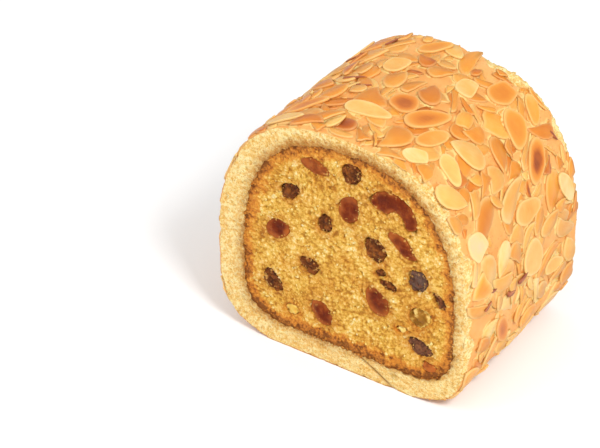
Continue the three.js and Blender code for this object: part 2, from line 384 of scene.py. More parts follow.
def torn_crumb_tree():
    """Tears cut faces into grains and holes. It moves points in from the cut by as much as cut says, and
    leaves on them how deep they lie and how pale they are: each grain's own tone, with painted shade in
    the pits between grains, which are darker than the raised grains."""
    tree, given, ends = shape_tree(
        "Torn crumb",
        Grain_Size=1.2 * MM,
        Grain_Depth=0.27 * MM,
        Hole_Size=2.4 * MM,
        Hole_Depth=0.8 * MM,
        Hole_Share=0.34,
        Swell_Size=8 * MM,
        Swell_Depth=0.6 * MM,
        Hollow_Depth=3.2 * MM,
        Hollow_Raggedness=1.3,
    )
    place = mesh_place(tree)
    per_grain = per(tree, given["Grain Size"])
    wander = scaled(tree, wandering(tree, place, per_grain, 2.0), given["Grain Size"])
    bent = vector_calc(tree, "ADD", place, wander)
    grain = cells(tree, bent, per_grain)
    small = cells(tree, bent, times(tree, per_grain, 2.1))
    lot = put(tree, "FunctionNodeSeparateColor", {"Color": grain.outputs["Color"]})
    dome = times(tree, grain.outputs["Distance"], grain.outputs["Distance"])
    small_dome = times(tree, small.outputs["Distance"], 0.45)
    drop = plus(tree, times(tree, dome, 1.6), small_dome)
    drop = plus(tree, drop, times(tree, lot.outputs[0], 0.7))
    torn = times(tree, drop, given["Grain Depth"])
    swell = noise(tree, place, per(tree, given["Swell Size"]), 2.0)
    rolling = times(tree, swell, given["Swell Depth"])
    ragged = noise(tree, bent, per(tree, given["Hole Size"]), 2.0, 0.6)
    level = less(tree, 0.75, times(tree, given["Hole Share"], 0.35))
    holes = fade(tree, less(tree, ragged, level), 0.0, 0.09)
    holes = times(tree, holes, given["Hole Depth"])
    crumb_depth = plus(tree, plus(tree, torn, rolling), holes)
    nibbled = less(tree, noise(tree, place, 620.0, 3.0, 0.6), 0.5)
    nibbled = times_plus(tree, nibbled, given["Hollow Raggedness"], carried(tree, "hollow"))
    for_fruit = times(tree, fade(tree, nibbled, 0.35, 0.65), given["Hollow Depth"])
    depth = times(tree, calc(tree, "MAXIMUM", crumb_depth, for_fruit), carried(tree, "cut"))
    end = calc(tree, "SIGN", part_of(tree, place, "Y"))
    inwards = times(tree, end, times(tree, depth, -1.0))
    move = put(tree, "ShaderNodeCombineXYZ", {"Y": inwards}).outputs[0]
    marked = kept(tree, given["Geometry"], "depth", crumb_depth)
    # pale is partly each grain's own tone and partly painted shade: the pits between grains are darker, the
    # raised grains paler
    lift = times(tree, less(tree, 0.5, drop), calc(tree, "SIGN", given["Grain Depth"]))
    marked = kept(tree, marked, "pale", times_plus(tree, lift, 0.7, 0.5))
    end_tree(tree, given, ends, shifted(tree, marked, move))
    return tree


TORN_CRUMB = torn_crumb_tree()


def crumb_grain_group():
    """A shader group for cut crumb: how pale each grain is, where the pores are, and a height for Bump."""
    tree, given, ends = new_tree(
        "Crumb grain",
        "ShaderNodeTree",
        {
            "Grain Size": ("NodeSocketFloat", 1 * MM),
            "Pore Size": ("NodeSocketFloat", 0.6 * MM),
            "Relief": ("NodeSocketFloat", 0.5),
        },
        {"Shade": "NodeSocketFloat", "Pores": "NodeSocketFloat", "Height": "NodeSocketFloat"},
    )
    place = surface_place(tree)
    per_grain = per(tree, given["Grain Size"])
    coarse = noise(tree, place, per_grain, 3.0, 0.6)
    fine = noise(tree, place, times(tree, per_grain, 2.6), 2.0, 0.6)
    shade = times_plus(tree, fine, 0.45, times(tree, coarse, 0.55))
    pore = cells(tree, place, per(tree, given["Pore Size"])).outputs["Distance"]
    pores = fade(tree, pore, 0.34, 0.16)
    height = less(tree, shade, times(tree, pores, 0.5))
    tree.links.new(fade(tree, shade, 0.32, 0.68), ends["Shade"])
    tree.links.new(pores, ends["Pores"])
    tree.links.new(times(tree, height, given["Relief"]), ends["Height"])
    return tree


CRUMB_GRAIN = crumb_grain_group()


def new_material(name, **constants):
    """A material and its tree and Principled BSDF, whose sockets named in constants get those values."""
    material = bpy.data.materials.new(name)
    material.use_nodes = True
    tree = material.node_tree
    shader = tree.nodes["Principled BSDF"]
    for key, value in constants.items():
        shader.inputs[key.replace("_", " ")].default_value = value
    return material, tree, shader


def bumped(tree, shader, height, strength, distance):
    """Gives a material fine relief, from a height that is worth the distance."""
    inputs = {"Strength": strength, "Distance": distance, "Height": height}
    tree.links.new(put(tree, "ShaderNodeBump", inputs).outputs[0], shader.inputs["Normal"])


WARM_GLOW = (1.0, 0.6, 0.3)  # how far red, green and blue light each spread inside cake and almond


def cake_material():
    """Golden crumb with pale grains, painted shade in its holes and in the pits between grains, amber round
    the fruit, and a dark crust.
    """
    material, tree, shader = new_material(
        "fruit_cake_crumb",
        Roughness=0.75,
        Specular_IOR_Level=0.25,
        Subsurface_Weight=0.4,
        Subsurface_Scale=2 * MM,
        Subsurface_Radius=WARM_GLOW,
    )
    place = surface_place(tree)
    sizes = {"Grain Size": 0.8 * MM, "Pore Size": 1.1 * MM}
    grain = put(tree, "ShaderNodeGroup", sizes, node_tree=CRUMB_GRAIN).outputs
    shade = times(tree, grain["Shade"], 0.5)
    # pale brings in each grain's own tone and the painted shade of the pits between grains
    shade = times_plus(tree, measure(tree, "pale"), 0.6, shade)
    # Painted shade: the deeper a point lies in a hole, the darker it is painted
    painted_hole_shade = fade(tree, measure(tree, "depth"), 0.5 * MM, 1.5 * MM, 0.0, 0.32)
    shade = less(tree, shade, painted_hole_shade)
    clumps = noise(tree, place, 210.0, 3.0, 0.55)
    shade = plus(tree, shade, fade(tree, clumps, 0.36, 0.64, -0.02, 0.21))
    crumb = ramp(
        tree,
        shade,
        (0.0, colour(184, 124, 34)),
        (0.22, colour(214, 156, 52)),
        (0.45, colour(236, 184, 78)),
        (0.68, colour(250, 210, 116)),
        (0.92, colour(255, 240, 184)),
    )
    rich = fade(tree, noise(tree, place, 120.0, 3.0), 0.42, 0.66, 0.0, 0.45)
    crumb = mixed(tree, rich, crumb, colour(255, 210, 108), "MULTIPLY")
    speckle = fade(tree, noise(tree, place, 480.0, 3.0, 0.6), 0.62, 0.7, 0.0, 0.5)
    crumb = mixed(tree, speckle, crumb, colour(226, 162, 54))
    stained = fade(tree, noise(tree, place, 350.0, 3.0), 0.3, 0.6, 0.05, 0.45)
    stain = times(tree, measure(tree, "stain"), stained)
    crumb = mixed(tree, stain, crumb, colour(226, 160, 96), "MULTIPLY")
    syrup = times(tree, measure(tree, "syrup"), fade(tree, clumps, 0.35, 0.55, 0.2, 0.8))
    crumb = mixed(tree, syrup, crumb, colour(255, 206, 84), "MULTIPLY")
    low = fade(tree, part_of(tree, place, "Z"), 26 * MM, 10 * MM)  # the crust is thicker near the base
    ragged = times_plus(tree, noise(tree, place, 170.0, 6.0, 0.75), -16 * MM, 7.4 * MM)
    inward = plus(tree, measure(tree, "inward"), ragged)
    palest = times_plus(tree, low, 1.2 * MM, 7.8 * MM)
    darkest = times_plus(tree, low, 2.1 * MM, -1.2 * MM)
    browning = fade(tree, inward, palest, darkest)
    baked = less(tree, browning, times_plus(tree, shade, 0.7, -0.3))
    crust = ramp(
        tree,
        baked,
        (0.0, colour(250, 190, 84)),
        (0.4, colour(228, 148, 46)),
        (0.75, colour(200, 118, 34)),
        (1.0, colour(132, 70, 16)),
    )
    crust_share = fade(tree, browning, 0.08, 0.55, 0.0, 0.95)
    tree.links.new(mixed(tree, crust_share, crumb, crust), shader.inputs["Base Color"])
    bumped(tree, shader, grain["Height"], 0.3, 0.4 * MM)
    return material


def fruit_cake():
    x, z, inward = face_grid(CAKE, FACE_CELLS)
    count = len(x)
    front = np.stack([x, np.full(count, FRONT), z], axis=-1)
    rear = np.stack([x, np.full(count, REAR), z], axis=-1)
    front_rim = rim_loop(FACE_CELLS + 1)
    rear_rim = front_rim + count
    sides = np.stack([front_rim, np.roll(front_rim, -1), np.roll(rear_rim, -1), rear_rim], axis=-1)
    rows = FACE_CELLS + 1
    quads = [grid_quads(rows, rows), grid_quads(rows, rows, count), sides]
    reach = np.concatenate([fruit_reach(x, z, side) for side in (-1, 1)])
    peel_reach = np.concatenate([fruit_reach(x, z, side, "peel") for side in (-1, 1)])
    # hollow is 1 under a fruit, 0 at its edge and less away from it, where no ragged edge may open
    values = {
        "cut": 1.0,
        "inward": np.tile(inward, 2),
        "border": np.tile(inward, 2),
        "hollow": smooth(reach, 1.16, 0.76) - 0.4 * (reach > 1.16),
        "stain": smooth(reach, 1.75, 0.95),
        "syrup": smooth(peel_reach, 2.6, 1.1),
    }
    made = new_object("cake_crumb", np.concatenate([front, rear]), np.concatenate(quads), values)
    return shaped(made, TORN_CRUMB, cake_material())


cake = fruit_cake()
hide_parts("fruit_cake")
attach(cake, "root")

# ---- Glace cherries ------------------------------------------------------------------------------------
# Red-brown candied flesh, smooth and slightly clear, sliced through by the knife. Each is a rounded lump,
# flat where it was cut, pressed into its own hollow in the crumb. One is a half with its stone hole open.

RECESS = 0.55 * MM  # how far the cut fruit lies in from the very surface of the cut


def fruit_flesh_tree():
    """Makes a smooth lump uneven: broad lumps, and ridges between wrinkles."""
    tree, given, ends = shape_tree(
        "Fruit flesh",
        Lump_Size=5 * MM,
        Lump_Depth=0.8 * MM,
        Wrinkle_Size=1.6 * MM,
        Wrinkle_Depth=0.0,
        Seed=0.0,
    )
    apart = put(tree, "ShaderNodeCombineXYZ", {"X": given["Seed"], "Z": given["Seed"]}).outputs[0]
    place = vector_calc(tree, "ADD", mesh_place(tree), apart)
    lumps = noise(tree, place, per(tree, given["Lump Size"]), 1.0)
    lump = times(tree, less(tree, lumps, 0.5), given["Lump Depth"])
    folds = noise(tree, place, per(tree, given["Wrinkle Size"]), 2.0, 0.5)
    ridge = fade(tree, calc(tree, "ABSOLUTE", less(tree, folds, 0.5)), 0.0, 0.14)
    wrinkle = times(tree, less(tree, ridge, 1.0), given["Wrinkle Depth"])
    normal = put(tree, "GeometryNodeInputNormal").outputs[0]
    out = scaled(tree, normal, plus(tree, lump, wrinkle))
    # fold is kept for the raisins' material, which paints shade in the creases with it
    marked = kept(tree, given["Geometry"], "fold", ridge)
    end_tree(tree, given, ends, shifted(tree, marked, out))
    return tree


FRUIT_FLESH = fruit_flesh_tree()


def flush(made, side):
    """Cuts a fruit off level with the face, as the knife does: what would stand out is pressed back."""
    points = np.empty(len(made.data.vertices) * 3)
    made.data.vertices.foreach_get("co", points)
    points = points.reshape(-1, 3)
    level = FRONT + RECESS if side < 0 else REAR - RECESS
    soft = 0.3  # share of what stands out that is left, so that the cut isn't dead flat
    past = (points[:, 1] - level) * side
    points[:, 1] -= side * np.maximum(past, 0) * (1 - soft)
    made.data.vertices.foreach_set("co", points.ravel())
    made.data.update()


def fruit_lump(node, bulge):
    """A rounded lump where a CAD fruit lies. bulge is how far it would swell out of the cut."""
    lie = FRUIT_LIES[node]
    ball = bmesh.new()
    bmesh.ops.create_icosphere(ball, subdivisions=5, radius=1)
    unit = np.array([v.co for v in ball.verts])
    faces = [[v.index for v in f.verts] for f in ball.faces]
    ball.free()
    flat = (
        lie["middle"]
        + np.outer(unit[:, 0] * lie["half_long"], lie["long"])
        + np.outer(unit[:, 2] * lie["half_short"], lie["short"])
    )
    side = lie["side"]
    level = FRONT if side < 0 else REAR
    out = unit[:, 1] * side
    depth = np.where(out > 0, (np.sqrt(np.abs(out)) - 1) * bulge, out * lie["deep"] - bulge)
    points = np.stack([flat[:, 0], level - side * RECESS + side * depth, flat[:, 1]], axis=-1)
    edge = np.hypot(unit[:, 0], unit[:, 2])
    return new_object("cut_" + node, points, faces, {"edge": edge})


def cherry_material():
    """Clear red-brown flesh: deepest in its middle, more amber towards its edge and where it is thin."""
    material, tree, shader = new_material(
        "glace_cherry_flesh",
        Roughness=0.44,
        Specular_IOR_Level=0.08,
        Subsurface_Weight=0.3,
        Subsurface_Scale=2 * MM,
    )
    place = surface_place(tree)
    cloudy = noise(tree, place, 260.0, 3.0, 0.55)
    specks = noise(tree, place, 1500.0, 2.0, 0.6)
    red = ramp(
        tree,
        times_plus(tree, specks, 0.25, times(tree, cloudy, 0.75)),
        (0.3, colour(86, 24, 4)),
        (0.5, colour(122, 44, 10)),
        (0.7, colour(164, 76, 22)),
    )
    broad = noise(tree, place, 130.0, 2.0)
    clear = times_plus(tree, broad, 1.3, measure(tree, "edge"))
    own = times(tree, measure(tree, "amber"), fade(tree, cloudy, 0.35, 0.6, 0.45, 1.3))
    clear = calc(tree, "MAXIMUM", fade(tree, clear, 1.1, 1.75, 0.0, 0.75), own)
    amber = mixed(tree, clear, red, colour(196, 108, 44))
    crumbs = fade(tree, noise(tree, place, 760.0, 3.0, 0.6), 0.58, 0.64)
    stuck = times(tree, crumbs, measure(tree, "edge"))
    amber = mixed(tree, fade(tree, stuck, 0.45, 0.8, 0.0, 0.85), amber, colour(222, 166, 84))
    tree.links.new(amber, shader.inputs["Base Color"])
    bumped(tree, shader, specks, 0.25, 0.3 * MM)
    return material


def set_value(made, name, value):
    """Writes one value over a whole piece, for its material to read."""
    layer = made.data.attributes.get(name) or made.data.attributes.new(name, "FLOAT", "POINT")
    layer.data.foreach_set("value", np.full(len(made.data.vertices), value, np.float32))


def finish_fruit(made, node):
    flush(made, FRUIT_LIES[node]["side"])
    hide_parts(node)
    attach(made, "root")


CHERRY = cherry_material()
# How clear and amber a cherry is all over, where it isn't 0
AMBER = {"front_cherry_1": 0.5, "front_cherry_5": 0.8, "rear_cherry_2": 0.5}


def cherry_hook():
    """A half cherry with its stone hole open: a thick arc of flesh, swept along its own middle line."""
    arcs, rounds = 60, 28
    bulge = 1.1 * MM
    share = np.linspace(0, 1, arcs)
    turn = np.radians(HOOK["from"] + (HOOK["to"] - HOOK["from"]) * share)
    rounding = np.sqrt(1 - 0.96 * (2 * share - 1) ** 8)  # it narrows at both its ends
    half = (HOOK["fat"] + (HOOK["thin"] - HOOK["fat"]) * share) * rounding
    deep = FRUIT_LIES["front_cherry_hook"]["deep"]
    ring = np.linspace(0, 2 * np.pi, rounds, endpoint=False)
    away = HOOK["radius"] + np.outer(half, np.cos(ring))
    up = np.sin(ring)
    out = np.where(up > 0, bulge * (np.sqrt(np.abs(up)) - 1), deep * up - bulge)
    y = FRONT + RECESS - np.outer(np.minimum(half / HOOK["thin"], 1), out)
    x = HOOK["x"] + away * np.cos(turn)[:, None]
    z = HOOK["z"] + away * np.sin(turn)[:, None]
    points = np.stack([x, y, z], axis=-1).reshape(-1, 3)
    number = np.arange(arcs * rounds).reshape(arcs, rounds)
    next_round = np.roll(number, -1, axis=1)
    corners = [number[:-1], next_round[:-1], next_round[1:], number[1:]]
    faces = np.stack([c.ravel() for c in corners], axis=-1).tolist()
    faces += [number[0].tolist(), number[-1].tolist()]
    edge = np.maximum(np.abs(np.cos(ring)), np.abs(2 * share - 1)[:, None] ** 6).ravel()
    return new_object("cut_front_cherry_hook", points, faces, {"edge": edge})


for number, node in enumerate(n for n in FRUIT_NODES if "cherry" in n):
    cherry = cherry_hook() if node == "front_cherry_hook" else fruit_lump(node, 0.8 * MM)
    shaped(cherry, FRUIT_FLESH, CHERRY, Lump_Size=5 * MM, Lump_Depth=1.4 * MM, Seed=0.31 * number)
    set_value(cherry, "amber", AMBER.get(node, 0.0))
    finish_fruit(cherry, node)

# ---- Raisins -------------------------------------------------------------------------------------------
# Dark, leathery and wrinkled, torn rather than sliced by the knife. Each is a lump with deep folds in its
# own hollow, and a few have the grey bloom of a raisin whose skin is whole.

# How much bloom a raisin has, where it isn't 0
BLOOM = {"front_raisin_6": 0.9, "front_raisin_7": 0.45, "front_raisin_8": 0.2, "rear_raisin_3": 0.6}


def raisin_material():
    """Dark brown skin, its ridges painted paler than its creases as painted shade, and a dusty grey bloom on
    some.
    """
    material, tree, shader = new_material(
        "raisin_skin", Specular_IOR_Level=0.08, Subsurface_Weight=0.12, Subsurface_Scale=1.5 * MM
    )
    place = surface_place(tree)
    cloudy = noise(tree, place, 420.0, 4.0, 0.6)
    skin = ramp(
        tree,
        cloudy,
        (0.3, colour(70, 32, 12)),
        (0.52, colour(114, 60, 24)),
        (0.72, colour(178, 106, 44)),
    )
    # The ridges are painted paler than the creases: painted shade in the creases
    ridge = fade(tree, measure(tree, "fold"), 0.5, 1.0, 0.0, 0.4)
    crease_shaded = mixed(tree, ridge, skin, colour(160, 88, 38))
    dusty = times(tree, measure(tree, "bloom"), fade(tree, cloudy, 0.35, 0.6, 0.35, 0.95))
    dusted = mixed(tree, dusty, crease_shaded, colour(104, 84, 76))
    crumbs = fade(tree, noise(tree, place, 700.0, 3.0, 0.6), 0.57, 0.62)
    stuck = times(tree, crumbs, measure(tree, "edge"))
    dusted = mixed(tree, fade(tree, stuck, 0.4, 0.8, 0.0, 0.9), dusted, colour(222, 170, 92))
    tree.links.new(dusted, shader.inputs["Base Color"])
    tree.links.new(fade(tree, cloudy, 0.3, 0.7, 0.32, 0.62), shader.inputs["Roughness"])
    bumped(tree, shader, noise(tree, place, 1400.0, 3.0, 0.6), 0.5, 0.4 * MM)
    return material


RAISIN = raisin_material()
for number, node in enumerate(n for n in FRUIT_NODES if "raisin" in n):
    raisin = fruit_lump(node, 0.9 * MM)
    shaped(
        raisin,
        FRUIT_FLESH,
        RAISIN,
        Lump_Size=3.2 * MM,
        Lump_Depth=2.2 * MM,
        Wrinkle_Size=2.1 * MM,
        Wrinkle_Depth=0.55 * MM,
        Seed=0.47 * number + 0.2,
    )
    set_value(raisin, "bloom", BLOOM.get(node, 0.0))
    finish_fruit(raisin, node)

# ---- Candied peel --------------------------------------------------------------------------------------
# Small clear cubes of candied citrus peel, yellow to olive green and sticky, softened at their corners.
# They shine a little more than the cherries and let the crumb's light through.

# How green a piece of peel is, where it isn't 0
GREEN = {"front_peel_1": 0.85, "rear_peel_1": 0.5}


def peel_material():
    """Clear gold flesh, olive in clouds at the middle of the green ones."""
    material, tree, shader = new_material(
        "candied_peel_flesh",
        Roughness=0.4,
        Specular_IOR_Level=0.08,
        Subsurface_Weight=0.12,
        Subsurface_Scale=2 * MM,
    )
    place = surface_place(tree)
    cloudy = noise(tree, place, 330.0, 3.0, 0.55)
    gold = ramp(
        tree,
        cloudy,
        (0.3, colour(226, 170, 62)),
        (0.5, colour(244, 200, 96)),
        (0.7, colour(252, 226, 146)),
    )
    olive = ramp(
        tree,
        cloudy,
        (0.3, colour(108, 56, 0)),
        (0.52, colour(152, 88, 0)),
        (0.72, colour(202, 136, 12)),
    )
    ringed = times_plus(tree, cloudy, 2.4, times(tree, measure(tree, "edge"), 0.6))
    ringed = fade(tree, ringed, 1.45, 1.95, 1.0, 0.15)
    green = times(tree, measure(tree, "amber"), ringed)
    tree.links.new(mixed(tree, green, gold, olive), shader.inputs["Base Color"])
    bumped(tree, shader, cloudy, 0.3, 0.4 * MM)
    return material


PEEL = peel_material()
for number, node in enumerate(n for n in FRUIT_NODES if "peel" in n):
    peel = fruit_lump(node, 0.8 * MM)
    shaped(peel, FRUIT_FLESH, PEEL, Lump_Size=2.4 * MM, Lump_Depth=3 * MM, Seed=0.83 * number + 0.1)
    set_value(peel, "amber", GREEN.get(node, 0.0))
    finish_fruit(peel, node)

# ---- Where the flaked almonds lie ----------------------------------------------------------------------
# The flakes are scattered on the raw sheet, so they lie at all angles, over and under each other. Each
# settles on what is already there. Places are given on the skin laid out flat: across is the distance
# round it from the crown, positive to +X, and along is Y.

WRAP = section_of("sponge_wrap", 34.5 * MM, 35.7 * MM, 2.48, 3.9)
SKIN_STEPS = 4000
skin_angles = np.linspace(1.5 * np.pi, -0.5 * np.pi, SKIN_STEPS + 1)
skin_points = outline(WRAP, skin_angles)
skin_run = np.concatenate([[0], np.cumsum(np.linalg.norm(np.diff(skin_points, axis=0), axis=1))])
CROWN_RUN = skin_run[SKIN_STEPS // 2]
COVERED = 122 * MM  # the almonds reach this far round from the crown
CELL = 0.5 * MM  # of the maps of the skin, which reach a little past the almonds
THICK = 0.75 * MM  # of a flake
SUNK = 0.55 * MM  # how deep the lowest flakes are baked into the skin
HIGHEST = 1.05 * MM  # how far the top of a flake may stand above the outline of the sheet
STEEPEST = 0.14  # slope at which a flake may come to rest
SCATTERED = 520
LENGTHS = [7.5, 12, 16.5]  # of the smaller flakes, in mm, give or take a seventh
LENGTH_ODDS = [0.25, 0.5, 0.25]
ATTEMPTS = 16  # places tried for each of them
# Patches with hardly any flakes: across, along and radius in mm
BARE = [
    (5, 12, 6), (34, -31, 5), (63, -13, 6), (85, 19, 6), (93, -31, 7),
    (68, -24, 4), (100, -12, 6), (9, 28, 5), (86, 29, 4), (112, -20, 10),
    (114, 14, 8), (-55, 5, 6), (-88, -22, 7), (-76, 24, 6), (-106, 4, 8),
]
random = np.random.default_rng(11)

map_across = np.arange(-COVERED - 14 * MM, COVERED + 14 * MM, CELL)
map_along = np.arange(FRONT - 8 * MM, REAR + 8 * MM, CELL)
ACROSS, ALONG = np.meshgrid(map_across, map_along, indexing="ij")


def softened(values, width):
    """A map of the skin blurred over about that width."""
    reach = int(round(width / CELL))
    weights = np.exp(-0.5 * (np.arange(-2 * reach, 2 * reach + 1) / reach) ** 2)
    weights /= weights.sum()
    for axis in (0, 1):
        edges = [(0, 0), (0, 0)]
        edges[axis] = (2 * reach, 2 * reach)
        wide = np.pad(values, edges, mode="edge")
        values = np.apply_along_axis(np.convolve, axis, wide, weights, mode="valid")
    return values


def read_map(values, across, along):
    """What a map of the skin says at each place."""
    i = np.clip(np.searchsorted(map_across, across), 0, len(map_across) - 1)
    j = np.clip(np.searchsorted(map_along, along), 0, len(map_along) - 1)
    return values[i, j]


def torn_skin(across, along):
    """Where the skin has come away, from 0 to 1: in ragged strips along both cuts and a crack low down."""
    wave = 0.45 + 0.3 * np.sin(across / (4.7 * MM)) + 0.25 * np.sin(across / (1.7 * MM) + 2)
    # How wide the strips are along the front and rear cuts, on the right side and on the left
    front = (wave * 4.6 + 0.7) * MM * smooth(across, 16 * MM, 34 * MM) * smooth(across, 112 * MM, 100 * MM)
    front_left = (wave - 0.5) * 3 * MM * smooth(across, -30 * MM, -60 * MM)
    rear = (1 - wave) * 6 * MM * smooth(across, 0, 12 * MM) * smooth(across, 66 * MM, 44 * MM)
    rear_left = (0.3 - wave) * 6 * MM * smooth(across, -20 * MM, -50 * MM)
    crack_off = (across - 104 * MM - 1.4 * MM * np.sin(along / (5 * MM))) / (1.9 * MM)
    crack = 1 - np.hypot((along - 15 * MM) / (17 * MM), crack_off)
    from_front, from_rear = along - FRONT, REAR - along
    strips = np.maximum(
        np.maximum(front, front_left) - from_front,
        np.maximum(rear, rear_left) - from_rear,
    )
    return np.maximum(smooth(strips, -0.2 * MM, 0.7 * MM), smooth(crack, 0.0, 0.4))


torn_map = torn_skin(ACROSS, ALONG)
# The broad rise and fall of the sheet, which dies away where the almonds end
broad = softened(random.normal(size=ACROSS.shape), 8 * MM)
broad = 0.45 * MM * broad / broad.std()
broad = np.minimum(broad - 0.35 * MM, 0.1 * MM)
broad = broad * smooth(np.abs(ACROSS), COVERED + 10 * MM, COVERED - 10 * MM)
top_level = broad - SUNK
covered = np.zeros(ACROSS.shape, bool)
bare = np.zeros(ACROSS.shape)
for across, along, radius in BARE:
    away = np.hypot(ACROSS - across * MM, ALONG - along * MM)
    bare = np.maximum(bare, smooth(away, radius * MM, 0.6 * radius * MM))


def snapped(points, degrees, away, ragged=0.05):
    """Snaps off an outline what lies further than away from its middle in a direction. Where it broke, the
    outline is a little ragged."""
    way = np.array([math.cos(math.radians(degrees)), math.sin(math.radians(degrees))])
    past = points @ way - away
    left = []
    for i in range(len(points)):
        j = (i + 1) % len(points)
        if past[i] <= 0:
            left.append(points[i])
        if (past[i] <= 0) != (past[j] <= 0):
            crossing = points[i] + (points[j] - points[i]) * past[i] / (past[i] - past[j])
            left.append(crossing)
            if past[i] <= 0:
                after = range(j, j + len(points))
                back = next(k for k in after if past[k % len(points)] <= 0) % len(points)
                before = back - 1
                share = past[before] / (past[before] - past[back])
                other = points[before] + (points[back] - points[before]) * share
                for step, off in ((0.3, ragged), (0.62, -ragged)):
                    left.append(crossing + (other - crossing) * step + way * off)
    return np.array(left)


def almond_outline(sides, taper, tip, breaks=(), wobble=0.0):
    """One slice of almond, 2 long and 2 wide: blunt at -1 and drawn to a tip at +1. Each of the breaks is
    a direction in degrees and how far from the middle it was snapped."""
    turn = np.linspace(0, 2 * np.pi, sides, endpoint=False)
    length = np.cos(turn)
    narrowing = np.abs(np.sin(turn)) ** (tip * np.clip(length, 0, 1))
    swell = 1 + wobble * np.sin(2 * turn + 60 * wobble) + 0.6 * wobble * np.sin(3 * turn + 20)
    points = np.stack([length, np.sin(turn) * (1 - taper * length) * narrowing], axis=-1) * swell[:, None]
    for degrees, away in breaks:
        points = snapped(points, degrees, away)
    return points


# Whole slices first, then ones snapped once, snapped twice or more, and last slivers: how much narrower they
# grow towards the tip, how drawn out it is, where they broke, and how uneven they are
WHOLE = [(0.16, 0.5, (), 0.04), (0.24, 0.9, (), -0.05), (0.08, 0.2, (), 0.06), (0.3, 1.1, (), 0.03)]
SNAPPED = [
    (0.22, 0.7, [(0, 0.35)], 0.04),
    (0.20, 0.6, [(24, 0.5)], -0.05),
    (0.18, 0.5, [(-32, 0.1)], 0.05),
    (0.22, 0.8, [(180, 0.2)], -0.04),
    (0.15, 0.4, [(98, 0.15)], 0.05),
    (0.12, 0.3, [(-76, 0.3)], 0.06),
]
TWICE = [
    (0.20, 0.6, [(100, 0.1), (10, 0.4)], 0.03),
    (0.16, 0.5, [(128, 0.1), (-20, 0.2)], -0.04),
    (0.20, 0.6, [(70, 0.3), (-60, 0.4), (180, 0.3)], 0.05),
    (0.20, 0.6, [(35, 0.2), (150, 0.3)], 0.03),
    (0.16, 0.4, [(60, 0.1), (180, 0.0)], 0.04),
    (0.14, 0.3, [(-120, 0.2), (-20, 0.3), (80, 0.4)], 0.03),
]
SLIVERS = [
    (0.20, 0.6, [(84, -0.35)], 0.03),
    (0.12, 0.3, [(94, -0.2), (-90, 0.62)], 0.04),
    (0.16, 0.5, [(78, 0.0), (-88, 0.35), (0, 0.5)], 0.03),
]
KINDS = WHOLE + SNAPPED + TWICE + SLIVERS
SHAPES = [almond_outline(16, taper, tip, breaks, wobble) for taper, tip, breaks, wobble in KINDS]
SHAPE_ODDS = np.repeat([0.035, 0.055, 0.065, 0.04], [len(WHOLE), len(SNAPPED), len(TWICE), len(SLIVERS)])
SHAPE_ODDS /= SHAPE_ODDS.sum()


def footprint(points):
    """Which cells of the map lie inside a closed outline."""
    (left, near), (right, far) = points.min(axis=0), points.max(axis=0)
    rows = np.searchsorted(map_across, (left, right))
    columns = np.searchsorted(map_along, (near, far))
    block = np.s_[rows[0] : rows[1] + 1, columns[0] : columns[1] + 1]
    x, y = ACROSS[block], ALONG[block]
    inside = np.zeros(x.shape, bool)
    for (x0, y0), (x1, y1) in zip(points, np.roll(points, -1, axis=0)):
        if y0 != y1:
            inside ^= ((y0 > y) != (y1 > y)) & (x < x0 + (x1 - x0) * (y - y0) / (y1 - y0))
    return block, inside


def settle(points, sink=0.0, tip=(0.0, 0.0)):
    """Where a flake comes to rest: its cells of the map, the plane that it lies on, as a height at its middle
    and two slopes, and the level of its top. It may be pressed in by sink, and tipped."""
    block, inside = footprint(points)
    middle = points.mean(axis=0)
    x, y = ACROSS[block][inside] - middle[0], ALONG[block][inside] - middle[1]
    if len(x) < 6:  # too little of it is over the map
        return None
    level = top_level[block][inside]
    table = np.stack([np.ones(len(x)), x, y], axis=-1)
    plane = np.linalg.lstsq(table, level, rcond=None)[0]
    plane[1:] = np.clip(plane[1:], -STEEPEST, STEEPEST) + tip
    rest = level - table @ plane
    # It rests on nearly the highest of what is under it
    plane[0] += np.quantile(rest, 0.95) * 0.9 - sink
    return block, inside, plane, table @ plane + THICK


def lay(block, inside, top):
    """Marks a flake on the maps, so that later ones settle on it."""
    # What comes later beds into it a little
    top_level[block][inside] = np.maximum(top_level[block][inside], top - 0.15 * MM)
    covered[block] |= inside


def placed(shape, across, along, turn, long, wide):
    """A shape's outline at its place on the skin laid flat."""
    way = np.array([math.cos(turn), math.sin(turn)])
    off = np.array([-way[1], way[0]])
    spread = np.outer(shape[:, 0] * long / 2, way) + np.outer(shape[:, 1] * wide / 2, off)
    return np.array([across, along]) + spread


def scatter():
    """Lays the smaller flakes one by one, each where the least of the skin is covered so far."""
    flakes = []
    for number in range(SCATTERED):
        kind = random.choice(len(SHAPES), p=SHAPE_ODDS)
        long = random.choice(LENGTHS, p=LENGTH_ODDS) * random.uniform(0.85, 1.15) * MM
        wide = long * random.uniform(0.46, 0.7)
        tip = random.normal(0, 0.06, 2)
        best = None
        for attempt in range(ATTEMPTS):
            across = random.uniform(-COVERED, COVERED)
            along = random.uniform(FRONT - 1 * MM, REAR + 1 * MM)
            turn = random.uniform(0, 2 * math.pi)
            points = placed(SHAPES[kind], across, along, turn, long, wide)
            rest = settle(points, random.uniform(0, 0.2) * MM, tip)
            if rest is None or (rest[3] > ceiling[rest[0]][rest[1]]).any():
                continue
            block, inside, plane, top = rest
            # The best place has the least covered before, and isn't torn or in a bare patch
            hidden = covered[block][inside].mean()
            missing = torn_map[block][inside].mean() + 0.6 * bare[block][inside].mean()
            score = hidden + 3 * missing + 0.35 * random.random()
            if best is None or score < best[0]:
                best = score, (across, along, turn), rest, points.mean(axis=0)
        if best is None or best[0] > 1.5:
            continue
        _, (across, along, turn), (block, inside, plane, top), middle = best
        lay(block, inside, top)
        away = np.array([across, along]) - middle
        lift = plane[0] + plane[1:] @ away
        flakes.append((across, along, lift, turn, long, wide, plane[1], plane[2], kind))
    return np.array(flakes)


